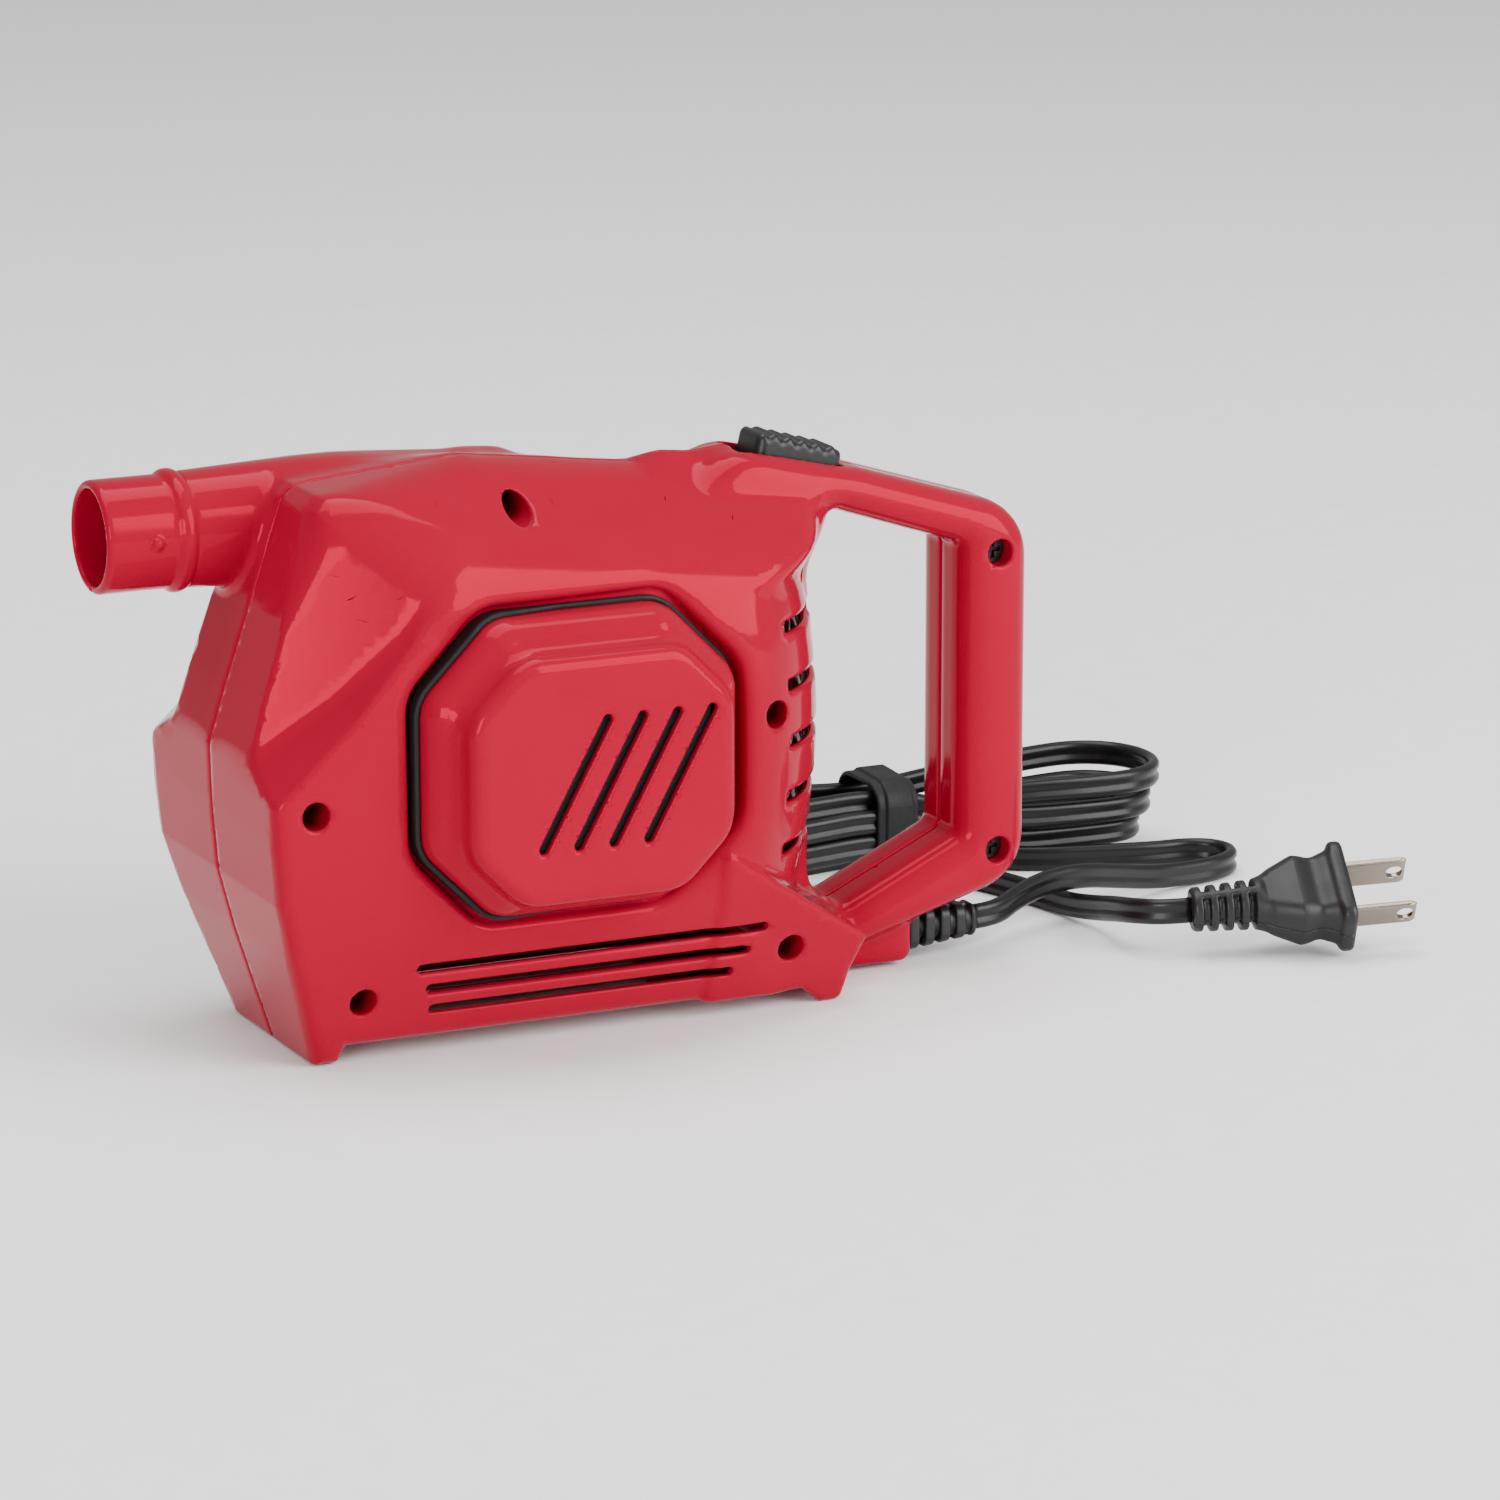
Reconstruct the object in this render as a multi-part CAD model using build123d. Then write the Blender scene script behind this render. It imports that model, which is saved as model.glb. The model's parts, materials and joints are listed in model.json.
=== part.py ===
from build123d import *
import os
from math import atan2, cos, degrees, hypot, pi, radians, sin, tan

# Electric air mattress pump, millimetres. +Z is up, -X is the nozzle end and
# the two housing halves meet on the plane Y = 0. The origin is on the floor
# under the middle of the pump.

# ---------------------------------------------------------------- driving sizes
HALF_LENGTH = 110.0          # nozzle mouth to handle rear is twice this
HALF_WIDTH = 52.0            # motor cover to inlet port is twice this
WALL = 2.4                   # moulded wall of the housing halves
FAR = 150.0                  # longer than anything cut or intersected

HANDLE_HALF = 13.0           # half the handle's width across Y
FOOT_TOP = 4.0               # underside of the body between the feet

AXIS_X, AXIS_Z = -20.0, 67.0             # motor and fan axis, along Y
SHAFT_R = 2.5
RUNNING_FIT = 0.05                       # radial clearance of the shaft in its bearings

NOZZLE_Y, NOZZLE_Z = 16.0, 115.0         # nozzle axis, along X
NOZZLE_R, NOZZLE_BORE = 12.75, 10.75
SPIGOT_R = 12.3                          # nozzle inside the housing, and the duct behind it
NOZZLE_GRIP = 17.0                       # mouth to collar
PORT_ROOT_R, PORT_FACE = 12.5, 43.0      # inlet port inside its collar, and the collar's face

SCREW_HEAD_R, SCREW_HEAD_DEEP, SCREW_HOLE_R = 2.9, 2.2, 3.1
SCREW_SHANK_R, SCREW_CLEAR_R, SCREW_PILOT_R = 1.6, 1.8, 1.5
BOSS_R = 4.5
TOP_SCREW = (-23.0, 120.6)               # bites in the fan plate, the others in the far half
CASE_SCREWS = [(-65.4, 15.4), (39.0, 15.4), (-79.0, 61.0), (32.7, 71.7),
               TOP_SCREW, (101.3, 97.6), (101.3, 26.9)]
SCREW_FLOOR = -6.0                       # socket floor, where the head seats

SWITCH_X, SWITCH_Z, SWITCH_SLOPE = 53.0, 122.9, 13.0
SWITCH_TRAVEL = 4.0

GLAND_X, GLAND_Z = 81.8, 7.6             # rear face of the cord block, cord height
RELIEF_LENGTH, RELIEF_R, RELIEF_END_R = 18.8, 5.2, 3.9
CORD_WIDTH = 6.2                         # flat two-core cord, wide side
CORD_FLOOR = 3.2                         # centre height of cord lying on edge

# Cord from the strain relief, over the plug's lead, round a loop to the hank.
LEAD_ROUTE = [(100.6, 0.0, GLAND_Z), (107.6, 0.0, GLAND_Z), (116.0, 6.0, 9.2), (126.5, 11.0, 10.4),
              (138.0, 13.8, 10.2), (150.5, 19.2, 7.2), (163.0, 24.0, 4.3), (174.5, 26.6, 3.3),
              (184.0, 28.6, CORD_FLOOR), (191.2, 34.0, CORD_FLOOR), (191.6, 42.2, CORD_FLOOR),
              (184.8, 46.8, CORD_FLOOR), (175.0, 47.2, CORD_FLOOR), (163.0, 50.4, CORD_FLOOR),
              (149.0, 54.2, CORD_FLOOR), (138.0, 60.6, CORD_FLOOR)]
# Cord from the hank, under the first lead, to the plug's strain relief.
PLUG_START = (143.9, -28.5, 11.3)
PLUG_ROUTE = [(120.5, 63.0, CORD_FLOOR), (124.0, 51.0, CORD_FLOOR), (128.6, 39.0, CORD_FLOOR),
              (132.0, 26.5, CORD_FLOOR), (134.4, 13.5, CORD_FLOOR), (135.4, 1.0, 5.4),
              (133.4, -11.5, 8.6), (133.6, -21.0, 10.4), (138.2, -26.7, 10.95), PLUG_START]
PLUG_AXIS = Vector(35.6, -11.3, 2.15).normalized()
PLUG_ROLL = 35.0                         # plug lies rolled about its own axis
PLUG_LENGTH = 37.4                       # strain relief end to the front face

HANK_TIE = (112.0, 72.0)
HANK_RIGHT, HANK_RIGHT_R = (170.0, 71.5), 19.5
HANK_LEFT, HANK_LEFT_R = (53.0, 74.0), 17.0
HANK_WAIST_R = 10.5
HANK_HEIGHT = 24.0
TIE_WIDTH, TIE_WALL = 11.0, 1.2

parts = {}


# ---------------------------------------------------------------- small helpers
def outline(points, radius=0.0):
    """A flat closed polygon, all of its corners rounded by radius."""
    shape = make_face(Polyline(*points, close=True))
    return fillet(shape.vertices(), radius) if radius else shape


def octagon(x0, x1, z0, z1, cut, radius):
    """A rectangle with its four corners cut off, softly rounded."""
    return outline([(x0 + cut, z0), (x1 - cut, z0), (x1, z0 + cut), (x1, z1 - cut),
                    (x1 - cut, z1), (x0 + cut, z1), (x0, z1 - cut), (x0, z0 + cut)], radius)


def slab(shape, y0, y1):
    """Side-view shape (x, z) made solid from y0 to y1."""
    return extrude(Plane.XZ.offset(-y1) * shape, y1 - y0)


def front_slab(shape, x0, x1):
    """Front-view shape (y, z) made solid from x0 to x1."""
    return extrude(Plane.YZ.offset(x0) * shape, x1 - x0)


def block(x0, x1, y0, y1, z0, z1):
    return Pos((x0 + x1) / 2, (y0 + y1) / 2, (z0 + z1) / 2) * Box(x1 - x0, y1 - y0, z1 - z0)


def disc(radius, y0, y1, x=AXIS_X, z=AXIS_Z):
    """A cylinder along Y, on the motor's axis unless told otherwise."""
    return slab(Pos(x, z) * Circle(radius), y0, y1)


def rod(radius, x0, x1, y=NOZZLE_Y, z=NOZZLE_Z):
    """A cylinder along X, on the nozzle's axis unless told otherwise."""
    return front_slab(Pos(y, z) * Circle(radius), x0, x1)


def ring(outer, inner, y0, y1, x=AXIS_X, z=AXIS_Z):
    return disc(outer, y0, y1, x, z) - disc(inner, y0 - 1, y1 + 1, x, z)


def joined(pieces):
    """All the pieces as one shape."""
    whole = pieces[0]
    for piece in pieces[1:]:
        whole += piece
    return whole


def corner_radii(route):
    """Arc radius at each inner point: 0.45 of the shorter run over tan(half the turn)."""
    radii = []
    for a, b, c in zip(route, route[1:], route[2:]):
        run_in, run_out = Vector(*b) - Vector(*a), Vector(*c) - Vector(*b)
        half_turn = radians(run_in.get_angle(run_out) / 2)
        radii.append(0.45 * min(run_in.length, run_out.length) / tan(half_turn))
    return radii


def tube(route, radius, name=None):
    """A round tube along straight runs joined by tangent arcs."""
    radii = corner_radii(route)
    path = FilletPolyline(*route, radius=radii)
    start = Vector(*route[1]) - Vector(*route[0])
    body = sweep(Plane(origin=route[0], z_dir=start) * Circle(radius), path=path)
    if name:
        ratio = body.volume / (pi * radius ** 2 * path.length)
        print(f"{name}: length {path.length:.0f} mm, volume ratio {ratio:.3f},",
              "radii", [round(r) for r in radii])
    return body


# ---------------------------------------------------------------- housing halves
SIDE = [(-75.0, 0), (-69.0, 0), (-67.5, FOOT_TOP), (44.0, FOOT_TOP), (49.0, 0), (55.0, 0),
        (59.0, 8), (62.0, 17), (62.0, 122.4), (31.0, 128.6), (21.0, 128.6), (13.3, 124.9),
        (-9.0, 127.4), (-28.5, 130), (-67.9, 126.4), (-71.0, 124), (-74.8, 112.6),
        (-84.8, 82.6), (-89.0, 68), (-88.6, 55), (-87.4, 41), (-83.6, 26.6)]
NEAR_FRONT = [(0, 0), (-26, 0), (-40, 40), (-38.8, 98), (-38.1, 131), (0, 131)]
# Roof-like shoulder each side of the seam, lower towards the handle.
SHOULDER_POINT = Vector(-23.0, -28.0, 116.5)
SHOULDER_SIDE = Vector(0.116, -0.510, 0.860).normalized()
# Scoop each side of the upper front: two planes meeting along a diagonal valley.
SCOOP_POINT = Vector(-88.5, -24.8, 67.8)
SCOOP_SIDE = Vector(-0.452, -0.867, 0.208)
SCOOP_FLOOR = Vector(-0.71, -0.04, 0.70)
HUMP_R, HUMP_WALL = 14.2, 1.8            # housing round the outlet duct
FRONT = NEAR_FRONT + [(-y, z) for y, z in NEAR_FRONT[-2:0:-1]]
BAFFLE_X = 33.0
REAR_CORNER, REAR_MIDDLE = (29.0, 38.5), (54.9, 0.0)        # rear wall's arc in plan
# Wedge that carries the side walls back to the rear feet, under the handle.
FIN = [(20.0, -5.0), (55.0, -5.0), (55.4, 7.3), (58.2, 16.2), (20.0, 43.0)]
LOOP = [(24.0, 129.4), (68.6, 119.2), (HALF_LENGTH, 106.4), (HALF_LENGTH, 19.5),
        (81.0, 11.0), (60.0, 4.6), (40.0, 4.6), (24.0, 20.0)]
HOLE = [(60.0, 105), (65.5, 109.5), (92.2, 100.0), (92.2, 31.0), (62.5, 17.0), (54.5, 21.0),
        (53.0, 60.0), (53.0, 96.0)]
LOW_SLOTS = [(-53.5, 32.0, 22.0), (-50.7, 28.2, 16.8), (-49.4, 24.5, 11.6)]      # x0, x1, z
REAR_SLOT_Z, REAR_SLOT_PITCH, REAR_SLOT_COUNT = 38.5, 12.9, 5
RECESS = (-56.5, 23.0, 31.5, 102.5, 17.5, 6.0)              # around the motor cover
COVER_BASE = (-55.0, 21.5, 33.0, 101.0, 17.0, 6.0)
COVER_PLATE = (-47.3, 15.8, 38.0, 93.5, 12.5, 5.0)


def scroll_radius(turn):
    """Inner radius of the scroll at an angle in degrees past its tongue."""
    return 34.0 + 12.0 * turn / 235 if turn < 235 else 46.0 + 10.5 * (turn - 235) / 90


def scroll_face(grow):
    """The scroll in side view, joined to its outlet duct, grown by a wall."""
    tongue, count = 125, 26
    points = []
    for step in range(count + 1):
        turn = 325 * step / count
        radius = scroll_radius(turn) + grow
        angle = radians(tongue + turn)
        points.append((AXIS_X + radius * cos(angle), AXIS_Z + radius * sin(angle)))
    spiral = outline(points + [(AXIS_X, AXIS_Z)])
    return spiral + Pos(AXIS_X, AXIS_Z) * Circle(34 + grow)


def half_space(origin, outward):
    return Plane(origin=origin, z_dir=outward) * Pos(0, 0, FAR) * Box(4 * FAR, 4 * FAR, 2 * FAR)


def body_form(inset):
    """The outer form of the body and handle, or the same moved in by a wall."""
    def moved(shape, amount=-inset):
        return offset(shape, amount=amount, kind=Kind.INTERSECTION) if inset else shape

    x0, y0 = REAR_CORNER
    rear = ThreePointArc((x0, -y0), REAR_MIDDLE, (x0, y0))
    front = Polyline((x0, y0), (-90.0, y0), (-90.0, -y0), (x0, -y0))
    plan = moved(make_face(rear + front))
    side = slab(moved(outline(SIDE)), -FAR, FAR)
    front_view = front_slab(moved(outline(FRONT)), -FAR, FAR)
    body = side & front_view & extrude(plan, FAR)
    fin = side & front_view & slab(moved(outline(FIN)), -FAR, FAR)
    loop = slab(moved(outline(LOOP, 14.0)), inset - HANDLE_HALF, HANDLE_HALF - inset)
    hole = slab(moved(outline(HOLE, 3.5), inset), -FAR, FAR)
    cord_box = block(50, GLAND_X - inset, inset - 8, 8 - inset, 1 + inset, 16)
    notch = half_space(SCOOP_POINT - SCOOP_SIDE * inset, SCOOP_SIDE)
    notch &= half_space(SCOOP_POINT - SCOOP_FLOOR * inset, SCOOP_FLOOR)
    shoulder = half_space(SHOULDER_POINT - SHOULDER_SIDE * inset, SHOULDER_SIDE)
    for cut in (notch, shoulder):
        body = body - cut - mirror(cut, Plane.XZ)
    hump = rod(HUMP_R - (HUMP_WALL if inset else 0), -79 + inset, AXIS_X + 12 - inset)
    scroll = slab(scroll_face(4.2 - inset), 0, 31.2 - inset)
    body += hump + scroll
    loop = loop - hole
    return (body - hole) + fin + loop + cord_box


outer, inner = body_form(0.0), body_form(WALL)
near_side = block(-FAR, FAR, -FAR, 0, -FAR, FAR)
far_side = block(-FAR, FAR, 0, FAR, -FAR, FAR)
shell = outer - inner
near, far = shell & near_side, shell & far_side

# Pocket for the motor cover: a sunk floor with a window through it.
pocket_wall = offset(octagon(*RECESS), amount=WALL)
near += slab(pocket_wall, -60, -31.6) & outer
near -= slab(octagon(*RECESS), -60, -34.0)
near -= slab(octagon(*COVER_BASE), -60, -1)

# Baffle between the motor's air and the slots round the rear.
near += block(BAFFLE_X, BAFFLE_X + 2.0, -FAR, -14.0, 30.0, 104.0) & outer


def slots():
    """Ventilation slots: three long ones low on each side, five round the rear."""
    pieces = []
    for x0, x1, z in LOW_SLOTS:
        pieces.append(slab(Pos((x0 + x1) / 2, z) * SlotOverall(x1 - x0, 2.0), -FAR, FAR))
    for step in range(REAR_SLOT_COUNT):
        z = REAR_SLOT_Z + REAR_SLOT_PITCH * step
        for y0, y1 in ((-34.0, -9.0), (9.0, 34.0)):
            pieces.append(block(38.0, 70.0, y0, y1, z - 1.2, z + 1.2))
    return joined(pieces)


kept_inside = disc(58.0, -25, 25) + block(-70, 37, -20, 20, 0, 130)
vents = slots() & (outer - kept_inside)
near -= vents
far -= vents

# Screw bosses: a counterbored socket on the near side, a pilot on the far side.
for x, z in CASE_SCREWS:
    near += disc(BOSS_R, -FAR, 0, x, z) & outer
    near -= disc(SCREW_HOLE_R, -FAR, SCREW_FLOOR, x, z)
    near -= disc(SCREW_CLEAR_R, SCREW_FLOOR - 1, 1, x, z)
    if (x, z) != TOP_SCREW:
        far += disc(BOSS_R, 0, FAR, x, z) & outer
        far -= disc(SCREW_PILOT_R, -1, 15, x, z)

# Openings shared by both halves.
switch_plane = Plane(origin=(SWITCH_X, 0, SWITCH_Z),
                     x_dir=(cos(radians(SWITCH_SLOPE)), 0, -sin(radians(SWITCH_SLOPE))),
                     z_dir=(sin(radians(SWITCH_SLOPE)), 0, cos(radians(SWITCH_SLOPE))))


def at_switch(x0, x1, half, z0, z1):
    """A block square to the sloping handle top, x0..x1 along the slope."""
    return switch_plane * Pos((x0 + x1) / 2, 0, (z0 + z1) / 2) * Box(x1 - x0, 2 * half, z1 - z0)


window = at_switch(-15.6, 11.5, 6.8, -4.5, 6)
gland_bore = rod(3.7, 70, 90, 0, GLAND_Z)
nozzle_bore = rod(SPIGOT_R + 0.05, -95, -66) + rod(SPIGOT_R + 0.95, -76.1, -73.9)
port_bore = disc(PORT_ROOT_R + 0.05, 30, 60)
near = near - window - gland_bore - nozzle_bore
far = far - window - gland_bore - nozzle_bore - port_bore
port_ring = disc(21.0, 34, PORT_FACE) - disc(PORT_ROOT_R + 0.05, 30, 60)
far += port_ring - inner
far -= disc(18.0, 41.0, 50.0) - disc(NOZZLE_R + 2.0, 40.0, 51.0)

parts["near_housing"] = near
parts["far_housing"] = far


# ---------------------------------------------------------------- motor cover
def cover_form(grow, back, front):
    skirt = slab(offset(octagon(*COVER_BASE), amount=grow), -44, back)
    x0, x1, z0, z1, cut, radius = COVER_PLATE
    base = Plane.XZ.offset(44) * offset(octagon(*COVER_BASE), amount=grow)
    top = Plane.XZ.offset(-front) * offset(octagon(x0, x1, z0, z1, cut, radius), amount=grow)
    return skirt + loft([base, top])


cover = cover_form(-0.3, -29.6, -HALF_WIDTH) - cover_form(-0.3 - 2.2, -25.0, -HALF_WIDTH + 2.2)
flange = slab(offset(octagon(*COVER_BASE), amount=2.6), -31.4, -29.6)
cover += flange - slab(offset(octagon(*COVER_BASE), amount=-2.5), -33, -25)
for step in range(4):
    slot = Pos(-23.0 + 8.4 * step, 65.0) * Rot(0, 0, 61) * SlotOverall(34.0, 2.2)
    cover -= slab(slot, -60, -45)
parts["motor_cover"] = cover


# ---------------------------------------------------------------- nozzle and inlet port
def flow_web(radius, y=NOZZLE_Y, z=NOZZLE_Z):
    """A small ring on three spokes across an air passage, in front view."""
    web = Circle(3.4) - Circle(2.0)
    spoke = Pos(radius / 2 + 1.4, 0) * Rectangle(radius - 2.6, 1.3)
    for turn in (30, 150, 270):
        web += Rot(0, 0, turn) * spoke
    return Pos(y, z) * web


nozzle = rod(NOZZLE_R, -HALF_LENGTH, -79.2) + rod(SPIGOT_R, -80, -64)
nozzle -= rod(NOZZLE_BORE, -HALF_LENGTH - 1, -63)
collar_x = -HALF_LENGTH + NOZZLE_GRIP
nozzle += rod(NOZZLE_R + 1.1, collar_x, collar_x + 3.6) - rod(NOZZLE_BORE, -HALF_LENGTH, -63)
nozzle += rod(SPIGOT_R + 0.9, -76.0, -74.0) - rod(NOZZLE_BORE, -HALF_LENGTH, -63)
nozzle += front_slab(flow_web(NOZZLE_BORE + 0.4), -HALF_LENGTH + 9, -HALF_LENGTH + 13)
parts["outlet_nozzle"] = nozzle

port = ring(NOZZLE_R, NOZZLE_BORE, PORT_FACE, HALF_WIDTH)
port += ring(PORT_ROOT_R, NOZZLE_BORE, 28.2, PORT_FACE)
port += ring(NOZZLE_R + 2.4, NOZZLE_BORE, 33.0, 34.8)
for step in range(6):
    spoke = Pos(AXIS_X, AXIS_Z) * Rot(0, 0, 60 * step) * Pos(7.0, 0) * Rectangle(8.2, 1.3)
    port += slab(spoke, 44.0, 47.0)
port += ring(3.6, 2.0, 44.0, 47.0)
parts["inlet_port"] = port

# ---------------------------------------------------------------- scroll and fan
scroll = slab(scroll_face(1.6), 5.0, 28.2) + rod(SPIGOT_R, -63.9, AXIS_X + 3)
scroll -= slab(scroll_face(0.0), 4.0, 26.6) + rod(NOZZLE_BORE, -70, AXIS_X)
scroll -= disc(NOZZLE_BORE, 20, 40)
parts["fan_scroll"] = scroll
plate = slab(scroll_face(1.6), 2.5, 5.0) - disc(6.0, 0, 10)
plate += disc(BOSS_R, 2.5, 5.0, *TOP_SCREW) - rod(SPIGOT_R + 0.1, -70, AXIS_X + 3.1)
parts["fan_plate"] = plate - disc(SCREW_PILOT_R, 0, 10, *TOP_SCREW)

IMPELLER_R, BLADES = 31.0, 9
impeller = ring(IMPELLER_R, SHAFT_R, 7.4, 8.8) + ring(6.0, SHAFT_R, 8.0, 19.0)
impeller += ring(IMPELLER_R, 12.0, 21.0, 22.2)
blade = Pos(15.0, -14.0) * (Circle(16.4) - Circle(15.2))
blade &= outline([(13.0, -2.0), (34.0, -16.0), (34.0, 4.0), (15.0, 6.0)])
blade &= Circle(IMPELLER_R - 0.2) - Circle(13.0)
for step in range(BLADES):
    turned = Pos(AXIS_X, AXIS_Z) * Rot(0, 0, 360 * step / BLADES) * blade
    impeller += slab(turned, 8.6, 21.2)
parts["impeller"] = impeller
nut = slab(Pos(AXIS_X, AXIS_Z) * RegularPolygon(4.2, 6), 19.0, 22.6)
parts["impeller_nut"] = nut - disc(SHAFT_R, 10, 30)

# ---------------------------------------------------------------- motor
CAN_R, CAN_FRONT, CAN_REAR = 22.0, 2.5, -38.0
parts["motor_shaft"] = disc(SHAFT_R, -47.0, 23.6)
can = ring(CAN_R, 20.8, CAN_REAR, CAN_FRONT) + ring(21.5, 7.0, 1.1, CAN_FRONT)
can += ring(8.6, 6.6, -4.0, 1.2)
parts["motor_can"] = can
for name, y0, y1 in (("front_bearing", -4.0, 1.0), ("rear_bearing", -43.6, -39.4)):
    parts[name] = ring(6.5, SHAFT_R + RUNNING_FIT, y0, y1)

magnet = ring(20.7, 18.4, -33.0, -7.0)
arcs = []
for reach in (-30, 30):
    arc = outline([(AXIS_X, AXIS_Z), (AXIS_X + reach, AXIS_Z + 22), (AXIS_X + reach, AXIS_Z - 22)])
    arcs.append(slab(arc, -40, 0))
parts["motor_magnets"] = magnet & joined(arcs)

ARMATURE_R, SLOT_COUNT, SLOT_RING = 17.6, 10, 13.0
core = ring(ARMATURE_R, SHAFT_R, -31.0, -9.0)
coils = ring(15.8, 7.5, -34.6, -31.0) + ring(15.8, 9.2, -9.0, -5.4)
for step in range(SLOT_COUNT):
    angle = 2 * pi * step / SLOT_COUNT
    x, z = AXIS_X + SLOT_RING * cos(angle), AXIS_Z + SLOT_RING * sin(angle)
    core -= disc(2.6, -32, -8, x, z)
    opening = Pos(AXIS_X, AXIS_Z) * Rot(0, 0, degrees(angle)) * Pos(16.5, 0) * Rectangle(4.0, 1.2)
    core -= slab(opening, -32, -8)
    coils += disc(2.3, -31.5, -8.5, x, z)
parts["armature_core"] = core
parts["armature_windings"] = coils

COMMUTATOR_R = 6.4
commutator = ring(COMMUTATOR_R, SHAFT_R, -39.2, -34.8)
for step in range(SLOT_COUNT):
    turn = Rot(0, 0, 360 * (step + 0.5) / SLOT_COUNT)
    gap = Pos(AXIS_X, AXIS_Z) * turn * Pos(COMMUTATOR_R, 0) * Rectangle(1.2, 0.4)
    commutator -= slab(gap, -40, -35.4)
parts["commutator"] = commutator

bell = ring(CAN_R, 6.55, -44.0, -42.4)
bell += ring(CAN_R, 19.6, -44.0, CAN_REAR)
bell += ring(9.0, 6.55, -44.0, -39.6)
parts["motor_end_bell"] = bell


def radial(side, r0, r1, half, y0, y1):
    """A block lying along the motor's radius, to either side of its axis."""
    low, high = sorted((AXIS_X + side * r0, AXIS_X + side * r1))
    return block(low, high, y0, y1, AXIS_Z - half, AXIS_Z + half)


FOLDS, FOLD_PITCH, FOLD_WALL = 8, 0.7, 0.25      # leaves of each folded brush spring
holders, brushes, springs = [], [], []
for side in (-1, 1):
    holder = radial(side, 8.0, 19.0, 3.0, -39.4, -34.9)
    holders.append(holder - radial(side, 7.0, 18.0, 2.1, -38.7, -35.6))
    brush = radial(side, 5.0, 12.0, 2.0, -38.6, -35.7)
    brushes.append(brush - disc(COMMUTATOR_R + 0.15, -40, -30))
    for fold in range(FOLDS):
        r0 = 12.2 + FOLD_PITCH * fold
        springs.append(radial(side, r0, r0 + FOLD_WALL, 1.4, -38.2, -36.1))
        if fold < FOLDS - 1:
            y0 = -38.2 if fold % 2 else -36.4
            springs.append(radial(side, r0, r0 + FOLD_PITCH + FOLD_WALL, 1.4, y0, y0 + 0.3))
parts["brush_holders"] = joined(holders)
parts["carbon_brushes"] = joined(brushes)
parts["brush_springs"] = joined(springs)

fan_hub = ring(5.0, SHAFT_R, -48.8, -45.2)
for step in range(8):
    vane = Pos(AXIS_X, AXIS_Z) * Rot(0, 0, 45 * step) * Pos(11.8, 0) * Rectangle(14.0, 1.2)
    fan_hub += slab(vane, -48.4, -45.6)
parts["cooling_fan"] = fan_hub + ring(19.4, 18.2, -48.4, -45.6)

MOTOR_SCREWS = [(AXIS_X + 14, AXIS_Z), (AXIS_X - 14, AXIS_Z)]
motor_screws = []
for x, z in MOTOR_SCREWS:
    motor_screws.append(disc(2.6, 5.0, 6.6, x, z) + disc(1.4, -3.0, 5.0, x, z))
    parts["fan_plate"] -= disc(1.6, 0, 10, x, z)
    parts["motor_can"] -= disc(1.4, 0, 10, x, z)
parts["motor_screws"] = joined(motor_screws)

MOUNT_R = CAN_R + 2.0                    # rubber ring that holds the motor can
parts["motor_mount_ring"] = ring(MOUNT_R, CAN_R, -24.0, -14.0)
for z0, z1 in ((-1.0, AXIS_Z - MOUNT_R), (AXIS_Z + MOUNT_R, 135.0)):
    rib = block(AXIS_X - 1.2, AXIS_X + 1.2, -23.0, -18.0, z0, z1) & outer
    parts["near_housing"] += rib - disc(MOUNT_R, -30, 5) - disc(BOSS_R, -FAR, 0, *TOP_SCREW)

# ---------------------------------------------------------------- electrics
BOARD = (-76.0, -48.0, -22.0, -20.4, 24.0, 48.0)
parts["rectifier_board"] = block(*BOARD)
DIODE_R = 1.35
diodes = [Pos(-72.0 + 6.0 * step, -20.4 + DIODE_R, 30.0) * Cylinder(DIODE_R, 5.2) for step in range(4)]
parts["rectifier_diodes"] = joined(diodes)
parts["suppression_capacitor"] = block(-72.0, -56.0, -20.4, -13.0, 36.0, 46.0)
for x, z in ((-74.5, 27.0), (-79.0, 45.0)):
    parts["near_housing"] += disc(2.0, -FAR, -22.0, x, z) & outer

switch_body = at_switch(-14.0, 6.0, 5.5, -15.0, -5.2)
parts["switch_body"] = switch_body - at_switch(-9.0, 5.4, 2.6, -9.0, 0)
for side, half in (("near_housing", -1), ("far_housing", 1)):
    for x0 in (-13.0, 3.0):
        bracket = switch_plane * Pos(x0 + 1, half * 18.0, -10) * Box(2.0, 25.0, 9.0)
        parts[side] += bracket & outer
rib_count, top_front, top_rear = 6, 4.3, 2.2
button = at_switch(-11.0, 11.0, 6.3, -2.6, 1.6)
wedge = switch_plane * (Plane.XZ * outline([(-11.0, 1.0), (11.0, 1.0), (11.0, top_rear - 0.9),
                                            (9.5, top_rear), (-9.0, top_front), (-11.0, top_front - 1.6)]))
button += extrude(wedge, 6.3, both=True)
for step in range(rib_count):
    x = -8.0 + 3.0 * step
    button -= at_switch(x - 0.6, x + 0.6, 7.0, top_front - 1.6 - 0.11 * (x + 9), 9)
button += at_switch(-3.6, 3.6, 2.0, -8.0, -2.0)
parts["switch_button"] = button

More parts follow.
